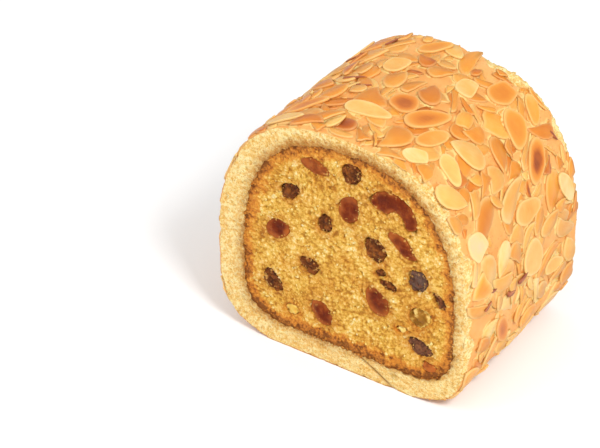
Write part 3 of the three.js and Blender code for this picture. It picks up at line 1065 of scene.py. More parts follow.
def flat_place(points):
    """Where points near the skin lie when it is laid flat: across and along."""
    nearest = [np.argmin(np.hypot(*(skin_points - (x, z)).T)) for x, z in points[:, [0, 2]]]
    return np.stack([skin_run[nearest] - CROWN_RUN, points[:, 1]], axis=-1)


def convex(points):
    """The points on the convex outline, in order round it."""
    order = points[np.lexsort((points[:, 1], points[:, 0]))]

    def half(sequence):
        chain = []
        for p in sequence:
            while len(chain) > 1:
                (ax, ay), (bx, by) = chain[-1] - chain[-2], p - chain[-2]
                if ax * by - ay * bx > 0:
                    break
                chain.pop()
            chain.append(p)
        return chain[:-1]

    return np.array(half(order) + half(order[::-1]))


OUTLINE_POINTS = 56


def large_outline(node, number):
    """The outline of a CAD flake on the flat skin, drawn finely and made a little uneven."""
    corners = np.array([v.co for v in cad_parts[node].data.vertices])
    rim = convex(flat_place(np.unique(np.round(corners, 6), axis=0)))
    closed = np.concatenate([rim, rim[:1]])
    run = np.concatenate([[0], np.cumsum(np.linalg.norm(np.diff(closed, axis=0), axis=1))])
    at = np.linspace(0, run[-1], OUTLINE_POINTS, endpoint=False)
    drawn = np.stack([np.interp(at, run, closed[:, k]) for k in (0, 1)], axis=-1)
    for smoothing in range(3):
        drawn = (np.roll(drawn, 1, axis=0) + 2 * drawn + np.roll(drawn, -1, axis=0)) / 4
    middle = drawn.mean(axis=0)
    turn = 2 * np.pi * np.arange(OUTLINE_POINTS) / OUTLINE_POINTS
    uneven = 1 + 0.03 * np.sin(3 * turn + number) + 0.02 * np.sin(5 * turn + 2 * number)
    return middle + (drawn - middle) * uneven[:, None]


FLAKE_NUMBERS = range(1, 25)
large_lines = {number: large_outline(f"almond_flake_{number}", number) for number in FLAKE_NUMBERS}
ceiling = np.full(ACROSS.shape, HIGHEST)  # what lies under a large flake leaves room for it
for edge_line in large_lines.values():
    block, inside = footprint(edge_line)
    ceiling[block][inside] = HIGHEST - THICK
scattered = scatter()
large = {}
for number, edge_line in large_lines.items():
    block, inside, plane, top = settle(edge_line)
    plane[0] = min(plane[0], HIGHEST - THICK)
    lay(block, inside, top)
    large[number] = (edge_line, plane)

# The level that the skin has puffed up to: nearly that of the flakes, and a little less at their edges
surface = np.where(covered, top_level, broad + 0.15 * MM)
skin_level = softened(surface, 0.9 * MM) - 0.24 * MM
near_flake = softened(covered.astype(float), 0.6 * MM)
skin_level = skin_level - 0.2 * MM * smooth(np.abs(near_flake - 0.5), 0.45, 0.1)
fused = softened(random.normal(size=ACROSS.shape), 2.5 * MM)
skin_level = skin_level + 0.16 * MM * np.clip(fused / fused.std(), -2, 2)
under = smooth(near_flake, 0.65, 0.92)  # well inside a flake the skin stays under it
skin_level = skin_level + (np.minimum(skin_level, top_level - 0.4 * MM) - skin_level) * under

# ---- The sponge sheet ----------------------------------------------------------------------------------
# A pale, fine sponge rolled once round the cake, its two ends lapped in a slant under the base. Its outside
# is a thin golden skin that has puffed up between the almonds and tears near the cuts, where the cream
# sponge under it shows.

ROUND_STEPS = 620  # of the grid round the sheet
ALONG_STEPS = 112  # of the grid along its skin
WALL_STEPS = 18  # of the grid from the cake out to the skin, in each cut
GAP = -0.1 * MM  # between the crust and the sheet, which clings to it raggedly
# Where the seam comes out under the base and where it starts at the cake, as directions in their outlines
SEAM_OUTSIDE = math.atan2(-WRAP["widest"], 21 * MM)
SEAM_INSIDE = math.atan2(CAKE["floor"] - GAP - CAKE["widest"], 7 * MM - CAKE["x"])
SEAM_DEPTH = 1.7 * MM  # of the fold that opens between the two ends in each cut
BASE_SPACING = 2.4  # how much wider apart the steps round are on the base than on the rest


def skin_relief_tree():
    """Lifts the skin to its level between the almonds, puckers it, and breaks it up where it is torn."""
    tree, given, ends = shape_tree(
        "Baked skin",
        Pucker_Size=3.0 * MM,
        Pucker_Depth=0.35 * MM,
        Torn_Depth=1.2 * MM,
        Torn_Size=1.9 * MM,
    )
    place = mesh_place(tree)
    puckers = noise(tree, place, per(tree, given["Pucker Size"]), 3.0, 0.55)
    pucker = times(tree, less(tree, puckers, 0.5), given["Pucker Depth"])
    chunks = noise(tree, place, per(tree, given["Torn Size"]), 3.0, 0.6)
    chunk = times(tree, times_plus(tree, chunks, 2.4, -0.5), given["Torn Depth"])
    chunk = times(tree, chunk, carried(tree, "torn"))
    up = less(tree, plus(tree, carried(tree, "rise"), pucker), chunk)
    up = times(tree, up, carried(tree, "skin"))
    out = scaled(tree, carried(tree, "out", "FLOAT_VECTOR"), up)
    end_tree(tree, given, ends, shifted(tree, given["Geometry"], out))
    return tree


def sponge_material():
    """Golden skin, dotted with pinholes painted darker as painted shade, over cream sponge that darkens
    towards the cake.
    """
    material, tree, shader = new_material(
        "sponge_sheet",
        Roughness=0.6,
        Specular_IOR_Level=0.3,
        Subsurface_Weight=0.25,
        Subsurface_Scale=2 * MM,
        Subsurface_Radius=WARM_GLOW,
    )
    place = surface_place(tree)
    sizes = {"Grain Size": 0.7 * MM, "Pore Size": 0.9 * MM, "Relief": 0.4}
    grain = put(tree, "ShaderNodeGroup", sizes, node_tree=CRUMB_GRAIN).outputs
    shade = times(tree, grain["Shade"], 0.6)
    # pale brings in each grain's own tone and the painted shade of the pits between grains
    shade = times_plus(tree, measure(tree, "pale"), 0.5, shade)
    cream = ramp(
        tree,
        shade,
        (0.0, colour(178, 116, 38)),
        (0.3, colour(224, 164, 70)),
        (0.6, colour(244, 195, 104)),
        (0.95, colour(255, 234, 168)),
    )
    # The pores are painted darker: painted shade inside them
    cream = mixed(tree, times(tree, grain["Pores"], 0.5), cream, colour(186, 124, 46))
    # The sheet is darker towards the cake, most of all high up, and darkest right against it
    wander = times_plus(tree, noise(tree, place, 260.0, 4.0, 0.6), 5 * MM, -4.5 * MM)
    wander = times_plus(tree, noise(tree, place, 1000.0, 2.0, 0.6), 4 * MM, wander)
    inner = plus(tree, measure(tree, "from_cake"), wander)
    z = part_of(tree, place, "Z")
    high = fade(tree, z, 58 * MM, 84 * MM, 0.45, 1.0)
    near_cake_darkening = times(tree, fade(tree, inner, 4.6 * MM, 0.4 * MM, 0.0, 0.9), high)
    darkened_near_cake = mixed(tree, near_cake_darkening, cream, colour(216, 168, 92), "MULTIPLY")
    darkened_near_cake = mixed(tree, fade(tree, inner, 1.0 * MM, -0.5 * MM, 0.0, 0.7), darkened_near_cake, colour(170, 112, 44))
    # The fold between the two lapped ends is painted brown: painted shade in the fold
    lapped = fade(tree, noise(tree, place, 500.0, 2.0), 0.3, 0.5, 0.3, 0.8)
    lap = times(tree, measure(tree, "seam"), lapped)
    sponge = mixed(tree, lap, darkened_near_cake, colour(178, 122, 56))
    blotches = noise(tree, place, 60.0, 4.0, 0.55)
    skin = ramp(
        tree,
        blotches,
        (0.3, colour(252, 191, 117)),
        (0.5, colour(246, 176, 98)),
        (0.7, colour(238, 158, 78)),
    )
    # Pinholes in the skin, painted darker: painted shade inside them
    pinhole_distance = cells(tree, place, 820.0).outputs["Distance"]
    patches = fade(tree, noise(tree, place, 90.0, 2.0), 0.4, 0.55)
    pinhole_shade = times(tree, fade(tree, pinhole_distance, 0.3, 0.14, 0.0, 0.55), patches)
    skin = mixed(tree, pinhole_shade, skin, colour(214, 132, 66))
    # Round the flakes' edges: pale yellow moist seeps, and deep orange painted shade in the crevices
    crevice = measure(tree, "crevice")
    moist = fade(tree, noise(tree, place, 200.0, 2.0), 0.44, 0.54)
    seep_and_crevice_shade = mixed(tree, moist, colour(236, 152, 66), colour(255, 228, 146))
    skin = mixed(tree, times(tree, crevice, 0.8), skin, seep_and_crevice_shade)
    ragged_height = times_plus(tree, noise(tree, place, 300.0, 3.0), -6 * MM, z)
    base_brown = fade(tree, ragged_height, 1 * MM, -2 * MM, 0, 0.7)
    skin = mixed(tree, base_brown, skin, colour(206, 126, 48))
    # Where the skin gives way to sponge: inwards of it in the cuts, and where it is torn
    torn = times(tree, measure(tree, "torn"), 1 * MM)
    seen = plus(tree, measure(tree, "inward"), torn)
    seen = times_plus(tree, noise(tree, place, 900.0, 2.0), 0.4 * MM, seen)
    cut = fade(tree, seen, 0.5 * MM, 0.85 * MM)
    tree.links.new(mixed(tree, cut, skin, sponge), shader.inputs["Base Color"])
    pits = times(tree, pinhole_shade, -0.6)
    fine = times_plus(tree, crevice, noise(tree, place, 900.0, 2.0), pits)
    height = put(tree, "ShaderNodeMix", {0: cut, 2: fine, 3: grain["Height"]}, data_type="FLOAT")
    bumped(tree, shader, height.outputs[0], 0.6, 0.4 * MM)
    return material


def steps_round():
    """How far each step goes round from the seam, in turns of the section: closer on the skin in sight."""
    turn = 2 * np.pi * np.linspace(0, 1, 6001)
    spots = outline(WRAP, SEAM_OUTSIDE + turn)
    length = np.linalg.norm(np.diff(spots, axis=0), axis=1)
    on_base = spots[1:, 1] < 0.1 * MM
    run = np.concatenate([[0], np.cumsum(length / np.where(on_base, BASE_SPACING, 1))])
    return np.interp(run[-1] * np.arange(ROUND_STEPS) / ROUND_STEPS, run, turn)


def set_vectors(made, name, vectors):
    """Writes a vector on each point of a piece."""
    layer = made.data.attributes.new(name, "FLOAT_VECTOR", "POINT")
    layer.data.foreach_set("vector", np.asarray(vectors, np.float32).ravel())


def sponge_sheet():
    turns = steps_round()
    outside = outline(WRAP, SEAM_OUTSIDE + turns)
    # The lap is slanted, and the rest of each cut is crossed straight from the cake to the skin
    slant = smooth(np.minimum(turns, 2 * np.pi - turns), np.radians(70), 0)
    clinging = 0.35 * np.sin(23 * turns + 1) + 0.35 * np.sin(61 * turns) + 0.3 * np.sin(97 * turns + 2)
    gap = GAP + 0.55 * MM * clinging
    inside = outline(CAKE, SEAM_OUTSIDE + turns + (SEAM_INSIDE - SEAM_OUTSIDE) * slant, gap)
    angle = (SEAM_OUTSIDE + turns + np.pi / 2) % (2 * np.pi) - np.pi / 2
    across = np.interp(angle, skin_angles[::-1], skin_run[::-1]) - CROWN_RUN
    tangent = np.roll(outside, -1, axis=0) - np.roll(outside, 1, axis=0)
    tangent /= np.linalg.norm(tangent, axis=1)[:, None]
    out = np.stack([tangent[:, 1], -tangent[:, 0]], axis=-1)
    thickness = np.linalg.norm(outside - inside, axis=1)
    # Rows of rings, from the inside of the front cut, out over the skin, to the inside of the rear cut:
    # each is a share of the way out, its Y, and whether it lies on the skin
    wall = np.arange(WALL_STEPS) / WALL_STEPS
    rows = [(share, FRONT, 0.0) for share in wall]
    rows += [(1.0, FRONT + (REAR - FRONT) * step / ALONG_STEPS, 1.0) for step in range(ALONG_STEPS + 1)]
    rows += [(share, REAR, 0.0) for share in wall[::-1]]
    rows += [(0.0, y, 0.0) for y in (REAR / 2, 0.0, FRONT / 2)]
    share, level, skin = (np.array(column)[:, None] for column in zip(*rows))
    count = len(rows)
    flat = inside + (outside - inside) * share[:, :, None]
    y = np.broadcast_to(level, (count, ROUND_STEPS)).copy()
    z = flat[:, :, 1].copy()
    spread = np.broadcast_to(across, y.shape)
    on_base = outside[:, 1] < 0.2 * MM
    at_cut = np.abs(level) > REAR - 1e-6
    steps_off = np.minimum(np.arange(ROUND_STEPS), ROUND_STEPS - np.arange(ROUND_STEPS))
    seam = np.interp(steps_off, [0, 1, 2, 3], [1, 0.55, 0.2, 0])
    skinned = np.broadcast_to(skin > 0, y.shape)
    torn = np.where(on_base, 0, torn_skin(spread, y))
    # crevice marks where the skin meets a flake's edge, where its material paints seeps and painted shade
    crevice = smooth(read_map(near_flake, spread, y), 0.08, 0.5)
    follows = np.clip((share - 0.55) / 0.45, 0, 1)  # the outside of the cut bends out with the skin
    torn_crumb = np.clip(1 - (REAR - np.abs(level)) / (2.5 * MM), 0, 1)  # it dies out along the skin
    values = {
        "inward": thickness * (1 - share),
        "from_cake": thickness * share,
        "border": thickness * share,
        "skin": np.where(on_base, 0.0, 1.0) * follows,
        "cut": torn_crumb * (share > 0),
        "rise": np.where(np.abs(spread) < map_across[-1], read_map(skin_level, spread, y), -0.05 * MM),
        "crevice": crevice * (np.abs(spread) < COVERED),
        "torn": torn,
        "seam": np.broadcast_to(seam * (share > 0.02) * (share < 0.99), y.shape),
        "hollow": np.full(y.shape, -1.0),
    }
    values = {key: np.broadcast_to(value, y.shape).ravel() for key, value in values.items()}
    y += seam * SEAM_DEPTH * (1 - 0.75 * share) * np.where(level < 0, 1, -1) * at_cut
    z += seam * SEAM_DEPTH * 0.2 * skinned
    points = np.stack([flat[:, :, 0], y, z], axis=-1).reshape(-1, 3)
    number = np.arange(count * ROUND_STEPS).reshape(count, ROUND_STEPS)
    down, right = np.roll(number, -1, axis=0), np.roll(number, -1, axis=1)
    quads = np.stack([number, right, np.roll(down, -1, axis=1), down], axis=-1).reshape(-1, 4)
    made = new_object("sponge_sheet", points, quads, values)
    outward = np.stack([out[:, 0], np.zeros(ROUND_STEPS), out[:, 1]], axis=-1)
    set_vectors(made, "out", np.tile(outward, (count, 1)))
    sponge = sponge_material()
    shaped(made, skin_relief_tree(), sponge)
    return shaped(
        made,
        TORN_CRUMB,
        sponge,
        Grain_Size=1.3 * MM,
        Grain_Depth=-0.3 * MM,
        Hole_Size=2.2 * MM,
        Hole_Depth=0.5 * MM,
        Hole_Share=0.38,
        Swell_Size=7 * MM,
        Swell_Depth=0.5 * MM,
    )


sheet = sponge_sheet()
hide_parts("sponge_wrap")
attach(sheet, "root")

# ---- Loose crumbs --------------------------------------------------------------------------------------
# The knife drags crumbs over both cut faces, and they stick where they fall: on the cake, on its fruit and
# on the edge of the sponge. They are rough little lumps of the same stuff as what they came from.


def loose_crumb_tree():
    """Sprinkles small lumps over the cut faces of a piece, in its own material."""
    tree, given, ends = shape_tree(
        "Loose crumbs",
        Per_Square_Metre=60000.0,
        Smallest=0.2 * MM,
        Largest=0.62 * MM,
        Roughness=0.5 * MM,
        Crust_Share=16.0,
    )
    facing = part_of(tree, put(tree, "GeometryNodeInputNormal").outputs[0], "Y")
    aside = calc(tree, "LESS_THAN", calc(tree, "ABSOLUTE", facing), 0.35)  # faces outside the cuts
    cuts = {"Geometry": given["Geometry"], "Selection": aside}
    cuts = put(tree, "GeometryNodeDeleteGeometry", cuts, domain="FACE").outputs[0]
    by_crust = fade(tree, carried(tree, "border"), 1.6 * MM, 0.4 * MM, 1.0, given["Crust Share"])
    spots = put(
        tree,
        "GeometryNodeDistributePointsOnFaces",
        {
            "Mesh": cuts,
            "Selection": calc(tree, "GREATER_THAN", carried(tree, "cut"), 0.5),
            "Density": times(tree, given["Per Square Metre"], by_crust),
            "Seed": 5,
        },
    )
    lump = put(tree, "GeometryNodeMeshIcoSphere", {"Radius": 1.0, "Subdivisions": 1}).outputs[0]
    sizes = {2: given["Smallest"], 3: given["Largest"], "Seed": 8}
    size = put(tree, "FunctionNodeRandomValue", sizes, data_type="FLOAT").outputs[1]

    def drawn(low, high, seed):
        inputs = {0: low, 1: high, "Seed": seed}
        return put(tree, "FunctionNodeRandomValue", inputs, data_type="FLOAT_VECTOR").outputs[0]

    squash = drawn((0.7, 0.6, 0.6), (1.4, 1.0, 1.2), 3)
    lumps = put(
        tree,
        "GeometryNodeInstanceOnPoints",
        {
            "Points": spots.outputs["Points"],
            "Instance": lump,
            "Rotation": drawn((0.0, 0.0, 0.0), (6.28, 6.28, 6.28), 4),
            "Scale": scaled(tree, squash, size),
        },
    ).outputs[0]
    lumps = put(tree, "GeometryNodeRealizeInstances", {"Geometry": lumps}).outputs[0]
    lumps = put(tree, "GeometryNodeSetShadeSmooth", {"Geometry": lumps}).outputs[0]
    bend = scaled(tree, wandering(tree, mesh_place(tree), 1600.0, 1.0), given["Roughness"])
    end_tree(tree, given, ends, shifted(tree, lumps, bend))
    return tree


LOOSE_CRUMBS = loose_crumb_tree()


def sprinkled(name, piece, slot, **sizes):
    """Loose crumbs over the cut faces of a piece, as a piece of their own."""
    made = in_scene(name, piece.data.copy())
    shaped(made, LOOSE_CRUMBS, piece.data.materials[0], **sizes)
    set_value(made, "pale", 0.62)
    set_value(made, "depth", 0.0)
    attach(made, "root")


sprinkled("loose_cake_crumbs", cake, "cake_crumb")
sprinkled("loose_sponge_crumbs", sheet, "sponge", Per_Square_Metre=40000.0, Largest=0.5 * MM)

# ---- Flaked almonds ------------------------------------------------------------------------------------
# Thin slices of blanched almond, waxy and pale with a painted highlight along the rim, toasted from the
# middle outwards. They are stuck in the skin, so they follow it only as far as a stiff slice can bend, and
# the knife has trimmed those that reach past a cut.

STIFF = 0.2  # 0 bends with the skin, and 1 stays flat


def skin_line():
    """The outline of the skin as a curve, from the middle of the base round by -X."""
    line = bpy.data.curves.new("skin_line", "CURVE")
    line.dimensions = "3D"
    spline = line.splines.new("POLY")
    spots = skin_points[::5]
    spline.points.add(len(spots) - 1)
    for point, (x, z) in zip(spline.points, spots):
        point.co = (x, 0, z, 1)
    return bpy.data.objects.new("skin_line", line)


def slice_mesh(points, thick, rings):
    """A slice with that outline, lying on z = 0. rings gives (share of the way out, height, rim), from the
    foot of its edge over its top; rim says how near its edge a point is, and is over 1 at its foot."""
    middle = points.mean(axis=0)
    count = len(points)
    levels = [(1.0, 0.0, 1.4)] + rings
    spots, rims = [], []
    for share, height, rim in levels:
        flat = middle + (points - middle) * share
        spots += [(x, y, height * thick) for x, y in flat]
        rims += [rim] * count
    spots.append((*middle, rings[-1][1] * thick))
    rims.append(0.0)
    faces = [list(range(count))[::-1]]
    for ring in range(len(levels) - 1):
        for i in range(count):
            j = (i + 1) % count
            low, high = ring * count, (ring + 1) * count
            faces.append([low + i, low + j, high + j, high + i])
    last = (len(levels) - 1) * count
    faces += [[last + i, last + (i + 1) % count, last + count] for i in range(count)]
    return spots, faces, rims


def shape_object(name, points, thick, rings):
    """A slice kept out of the scene, to be instanced. Its own flat place is kept for the material."""
    spots, faces, rims = slice_mesh(points, thick, rings)
    made = new_object(name, spots, faces, {"rim": rims})
    set_vectors(made, "flat", spots)
    bpy.context.scene.collection.objects.unlink(made)
    return made


def almond_tree():
    """Sets a slice at each point, turned and sized as the point says, and lays it round the skin."""
    tree, given, ends = new_tree(
        "Flaked almonds",
        "GeometryNodeTree",
        {
            "Geometry": ("NodeSocketGeometry", None),
            "Material": ("NodeSocketMaterial", None),
            "Slices": ("NodeSocketCollection", None),
            "Skin Line": ("NodeSocketObject", None),
            "Stiffness": ("NodeSocketFloat", 0.5),
            "Run to Crown": ("NodeSocketFloat", 0.16),
            "Warp": ("NodeSocketFloat", 0.25 * MM),
        },
        {"Geometry": "NodeSocketGeometry"},
    )
    points = kept(tree, given["Geometry"], "centre", mesh_place(tree), "FLOAT_VECTOR")
    kinds = {"Collection": given["Slices"], "Separate Children": True, "Reset Children": True}
    slices = put(tree, "GeometryNodeCollectionInfo", kinds).outputs[0]
    facing = put(tree, "ShaderNodeCombineXYZ", {"Z": carried(tree, "turn")}).outputs[0]
    set_down = put(
        tree,
        "GeometryNodeInstanceOnPoints",
        {
            "Points": points,
            "Instance": slices,
            "Pick Instance": True,
            "Instance Index": carried(tree, "kind", "INT"),
            "Rotation": put(tree, "FunctionNodeEulerToRotation", {0: facing}).outputs[0],
            "Scale": carried(tree, "size", "FLOAT_VECTOR"),
        },
    ).outputs[0]
    real = put(tree, "GeometryNodeRealizeInstances", {"Geometry": set_down}).outputs[0]
    here = mesh_place(tree)
    centre = carried(tree, "centre", "FLOAT_VECTOR")
    away = vector_calc(tree, "SUBTRACT", here, centre)
    tilt = vector_calc(tree, "DOT_PRODUCT", away, carried(tree, "slope", "FLOAT_VECTOR"))
    warp = less(tree, noise(tree, here, 130.0, 1.0), 0.5)
    warp = times(tree, warp, given["Warp"])
    parts = put(tree, "ShaderNodeSeparateXYZ", {0: here}).outputs
    origin = put(tree, "ShaderNodeSeparateXYZ", {0: centre}).outputs
    height = plus(tree, plus(tree, parts["Z"], tilt), warp)

    def on_skin(across):
        """The place and the two directions of the skin at a distance across it."""
        run = plus(tree, across, given["Run to Crown"])
        curve = put(tree, "GeometryNodeObjectInfo", {"Object": given["Skin Line"]}).outputs["Geometry"]
        node = put(tree, "GeometryNodeSampleCurve", {"Curves": curve, "Length": run}, mode="LENGTH")
        node.use_all_curves = True
        way = node.outputs["Tangent"]
        out = vector_calc(tree, "CROSS_PRODUCT", way, (0.0, 1.0, 0.0))
        return node.outputs["Position"], way, out

    place, _, out = on_skin(parts["X"])
    bent = vector_calc(tree, "ADD", place, scaled(tree, out, height))
    middle, way, middle_out = on_skin(origin["X"])
    reach = scaled(tree, way, less(tree, parts["X"], origin["X"]))
    level = vector_calc(tree, "ADD", middle, reach)
    stiff = vector_calc(tree, "ADD", level, scaled(tree, middle_out, height))
    shares = {0: given["Stiffness"], 4: bent, 5: stiff}
    laid = put(tree, "ShaderNodeMix", shares, data_type="VECTOR").outputs[1]
    along = put(tree, "ShaderNodeCombineXYZ", {"Y": parts["Y"]}).outputs[0]
    final = vector_calc(tree, "ADD", laid, along)
    size = carried(tree, "size", "FLOAT_VECTOR")
    own = vector_calc(tree, "MULTIPLY", carried(tree, "flat", "FLOAT_VECTOR"), size)
    own = vector_calc(tree, "ADD", own, scaled(tree, centre, 31.0))  # so that no two have the same pattern
    marked = kept(tree, real, "own", own, "FLOAT_VECTOR")
    moved = put(tree, "GeometryNodeSetPosition", {"Geometry": marked, "Position": final}).outputs[0]
    end_tree(tree, given, ends, moved)
    return tree


def along_slice(tree, own, along, across):
    """A slice's own place, scaled for a pattern of fibres that runs the length of it."""
    scales = {"Vector": own, "Scale": (along, across, 900.0)}
    return put(tree, "ShaderNodeMapping", scales).outputs[0]


def almond_material():
    """Waxy pale almond with a painted highlight along its rim and painted shade at the foot of its edge.
    toast browns it all over, and heart in a patch at its middle.
    """
    material, tree, shader = new_material(
        "flaked_almond",
        Roughness=0.42,
        Specular_IOR_Level=0.3,
        Subsurface_Weight=0.25,
        Subsurface_Scale=1.5 * MM,
        Subsurface_Radius=WARM_GLOW,
    )
    own = measure(tree, "own", "Vector")
    place = surface_place(tree)
    rim, toast, tone = measure(tree, "rim"), measure(tree, "toast"), measure(tree, "tone")
    patchy = noise(tree, own, 150.0, 2.0)
    fibres = noise(tree, along_slice(tree, own, 220.0, 1500.0), 1.0, 2.0, 0.6)
    wide = noise(tree, place, 40.0, 1.0)
    uneven_rim = plus(tree, rim, times_plus(tree, patchy, 1.0, -0.5))
    centred = less(tree, 1.0, uneven_rim)
    heart = times(tree, fade(tree, centred, 0.1, 0.85), measure(tree, "heart"))
    brown = times_plus(tree, toast, 0.62, times_plus(tree, patchy, 0.36, -0.16))
    brown = plus(tree, brown, times(tree, heart, 0.6))
    brown = plus(tree, brown, times(tree, wide, 0.08))
    brown = times_plus(tree, fibres, 0.1, brown)
    baked = ramp(
        tree,
        brown,
        (0.0, colour(252, 220, 180)),
        (0.1, colour(255, 226, 162)),
        (0.26, colour(255, 201, 112)),
        (0.48, colour(249, 169, 65)),
        (0.7, colour(234, 140, 46)),
        (0.88, colour(192, 100, 34)),
        (1.0, colour(138, 64, 32)),
    )
    tinted = mixed(tree, tone, baked, colour(255, 232, 210), "MULTIPLY")
    # A painted highlight along the rim
    edge = times(tree, fade(tree, rim, 0.66, 0.96), fade(tree, toast, 0.9, 0.1, 0.3, 0.6))
    rim_lit_foot_shaded = mixed(tree, edge, tinted, colour(255, 220, 150))
    # Painted shade at the foot of the edge
    rim_lit_foot_shaded = mixed(tree, fade(tree, rim, 1.05, 1.3, 0.0, 0.4), rim_lit_foot_shaded, colour(240, 166, 88))
    tree.links.new(rim_lit_foot_shaded, shader.inputs["Base Color"])
    bumped(tree, shader, times_plus(tree, fibres, 0.4, patchy), 0.25, 0.3 * MM)
    return material


ALMOND = almond_material()
ALMOND_TREE = almond_tree()
LINE = skin_line()


def lay_slices(name, spots, values, slices, material=ALMOND):
    """Lays slices at spots on the flat skin. values holds what each point carries."""
    single = {key: values[key] for key in ("turn", "toast", "heart", "tone") if key in values}
    made = new_object(name, spots, [], single)
    for key in ("size", "slope"):
        set_vectors(made, key, values[key])
    layer = made.data.attributes.new("kind", "INT", "POINT")
    layer.data.foreach_set("value", np.asarray(values["kind"], np.int32))
    group = bpy.data.collections.new(name + "_slices")
    for piece in slices:
        group.objects.link(piece)
    given = {"Slices": group, "Skin_Line": LINE, "Stiffness": STIFF, "Run_to_Crown": CROWN_RUN}
    shaped(made, ALMOND_TREE, material, **given)
    trim(made)
    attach(made, "root")
    return made


TRIM = 0.05 * MM  # how far short of the cut a trimmed flake ends


def trim(made):
    """Cuts off what reaches past either end of the loaf, and closes the flakes where they were cut."""
    shell = bmesh.new()
    shell.from_mesh(made.data)
    for level, way in ((FRONT, -1), (REAR, 1)):
        bmesh.ops.bisect_plane(
            shell,
            geom=shell.verts[:] + shell.edges[:] + shell.faces[:],
            dist=1e-6,
            plane_co=(0, level - way * TRIM, 0),
            plane_no=(0, way, 0),
            clear_outer=True,
        )
        rims = [e for e in shell.edges if e.is_boundary]
        bmesh.ops.holes_fill(shell, edges=rims, sides=0)
    shell.to_mesh(made.data)
    shell.free()


# The rings of a small slice and of a large one, as slice_mesh takes them
COARSE = [(1.0, 0.6, 1.0), (0.92, 1.0, 0.85)]
FINE = [
    (1.01, 0.3, 1.0),
    (1.005, 0.7, 1.0),
    (0.975, 0.94, 0.97),
    (0.93, 1.0, 0.9),
    (0.86, 0.97, 0.8),
    (0.7, 0.88, 0.65),
    (0.45, 0.83, 0.4),
    (0.2, 0.82, 0.15),
]


# How toasted each large flake is all over, and how dark it is at its heart
TOAST = [
    0.6, 0.6, 0.75, 0.6, 0.3, 0.5, 0.4, 0.35, 0.55, 0.15, 0.25, 0.2,
    0.6, 0.6, 0.4, 0.7, 0.25, 0.0, 0.15, 0.7, 0.35, 0.5, 0.4, 0.6,
]
HEART = {1: 0.25, 2: 0.8, 3: 0.5, 4: 0.45, 9: 0.2, 13: 0.3, 16: 0.4, 20: 0.4, 22: 0.5}

for toast, (number, (edge_line, plane)) in zip(TOAST, large.items()):
    middle = edge_line.mean(axis=0)
    slice_piece = shape_object(f"slice_{number}", edge_line - middle, THICK, FINE)
    values = {
        "turn": 0.0,
        "toast": toast,
        "heart": HEART.get(number, 0.0),
        "tone": random.uniform(0, 0.5),
        "size": [(1, 1, 1)],
        "slope": [(plane[1], plane[2], 0)],
        "kind": [0],
    }
    flake = lay_slices(f"toasted_almond_flake_{number}", [(*middle, plane[0])], values, [slice_piece])
    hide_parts(f"almond_flake_{number}")

count = len(scattered)
across, along, lift, turn, long, wide, slope_x, slope_y, kind = scattered.T
# The top of the loaf is toasted most, and one flake in ten is darker at its heart
toasts = 0.04 + random.beta(1.5, 2.6, count) + 0.2 * smooth(np.abs(across), 85 * MM, 30 * MM)
hearts = 0.6 * random.random(count) * (random.random(count) < 0.1)
scattered_values = {
    "turn": turn,
    "toast": toasts,
    "heart": hearts,
    "tone": random.uniform(0, 1, count),
    "size": np.stack([long / 2, wide / 2, np.full(count, 1.0)], axis=-1),
    "slope": np.stack([slope_x, slope_y, 0 * slope_x], axis=-1),
    "kind": kind.astype(int),
}
slices = [shape_object(f"slice_shape_{i:02d}", shape, THICK, COARSE) for i, shape in enumerate(SHAPES)]
lay_slices("scattered_almonds", np.stack([across, along, lift], axis=-1), scattered_values, slices)

# ---- Bits of almond skin -------------------------------------------------------------------------------
# A few slices kept a strip of their brown skin, which has come off and baked on to the sheet by itself.
# They are thin, dark and narrow.

# Each one's across, along, turn in degrees, length and width, in mm
SKIN_BITS = [
    (85, -3, 100, 7, 2.2),
    (87, -10, 75, 6, 2.5),
    (-19, 0, 10, 10, 1.3),
    (-12, -5, 20, 6, 1.0),
    (-31, 18, 35, 8, 1.2),
    (-22, 29, 60, 7, 1.4),
    (83, -26, 110, 5, 1.4),
    (79, -22, 80, 4, 1.2),
    (-70, -12, 50, 7, 1.4),
    (-92, 20, 120, 6, 1.6),
    (48, 30, 20, 5, 1.2),
]


def almond_skin_material():
    """Red-brown papery skin, streaked along its length."""
    material, tree, shader = new_material("almond_skin", Roughness=0.55)
    own = measure(tree, "own", "Vector")
    streaks = noise(tree, along_slice(tree, own, 300.0, 1800.0), 1.0, 3.0)
    brown = ramp(
        tree,
        streaks,
        (0.3, colour(136, 64, 34)),
        (0.55, colour(184, 98, 52)),
        (0.75, colour(220, 144, 84)),
    )
    tree.links.new(brown, shader.inputs["Base Color"])
    bumped(tree, shader, streaks, 0.4, 0.3 * MM)
    return material


across, along, turn, long, wide = np.array(SKIN_BITS, float).T
turn = np.radians(turn)
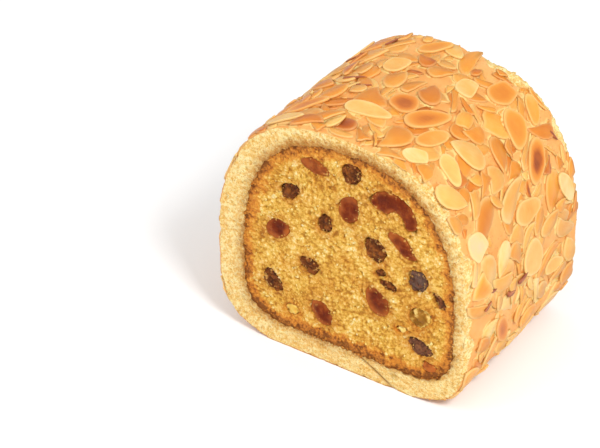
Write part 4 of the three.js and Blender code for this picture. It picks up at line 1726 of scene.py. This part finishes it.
# Each lies on the highest thing under it, be it skin or flake
bit_way = np.stack([np.cos(turn), np.sin(turn)]) * long * MM
bit_levels = [
    read_map(np.maximum(skin_level, top_level), *(np.stack([across, along]) * MM + bit_way * share))
    for share in (-0.4, -0.2, 0.0, 0.2, 0.4)
]
bit_level = np.minimum(np.max(bit_levels, axis=0), HIGHEST)
count = len(SKIN_BITS)
bit_values = {
    "turn": turn,
    "size": np.stack([long * MM / 2, wide * MM / 2, np.full(count, 0.6)], axis=-1),
    "slope": np.zeros((count, 3)),
    "kind": np.zeros(count, int),
}
strip = shape_object("slice_skin_strip", almond_outline(16, 0.1, 0.6, [(70, 0.5)], 0.08), THICK, COARSE)
bit_places = np.column_stack([across * MM, along * MM, bit_level - 0.2 * MM])
lay_slices("almond_skin_bits", bit_places, bit_values, [strip], almond_skin_material())

# ---- The table, the light and the camera ---------------------------------------------------------------
# A plain white table that runs out of sight, in soft white studio light from all round with a broad lamp
# above, and a camera that looks down on the front cut and the right side.

bpy.ops.mesh.primitive_plane_add(size=6, location=(0, 0, -0.02 * MM))
table = bpy.context.object
table.name = "table_top"
table_material, _, table_shader = new_material("white_table", Roughness=0.9)
table_shader.inputs["Base Color"].default_value = (0.92, 0.92, 0.92, 1)
table.data.materials.append(table_material)

world = bpy.data.worlds.new("studio")
world.use_nodes = True
world.node_tree.nodes["Background"].inputs["Color"].default_value = (1, 1, 1, 1)
world.node_tree.nodes["Background"].inputs["Strength"].default_value = 0.8
bpy.context.scene.world = world


def lamp(name, place, size, power):
    """A square lamp that faces the middle of the loaf."""
    light = bpy.data.lights.new(name, "AREA")
    light.size = size
    light.energy = power
    made = in_scene(name, light)
    made.location = place
    made.rotation_euler = (Vector((0, 0, 0.05)) - Vector(place)).to_track_quat("-Z", "Y").to_euler()


lamp("key_lamp", (0.5, -0.3, 0.65), 0.2, 4.6)
lamp("fill_lamp", (-0.5, -0.5, 0.6), 0.5, 1.5)

lens = bpy.data.cameras.new("camera")
lens.lens = 133.9
lens.clip_start = 0.01
camera = in_scene("camera", lens)
camera.location = (0.3279, -0.5449, 0.4678)
azimuth, elevation = 0.594788, 0.593925  # of the camera, seen from the loaf, in radians
level = math.cos(elevation)
back = Vector((math.sin(azimuth) * level, -math.cos(azimuth) * level, math.sin(elevation)))
camera.rotation_euler = (-back).to_track_quat("-Z", "Y").to_euler()
bpy.context.scene.camera = camera
bpy.context.scene.view_settings.view_transform = "Standard"
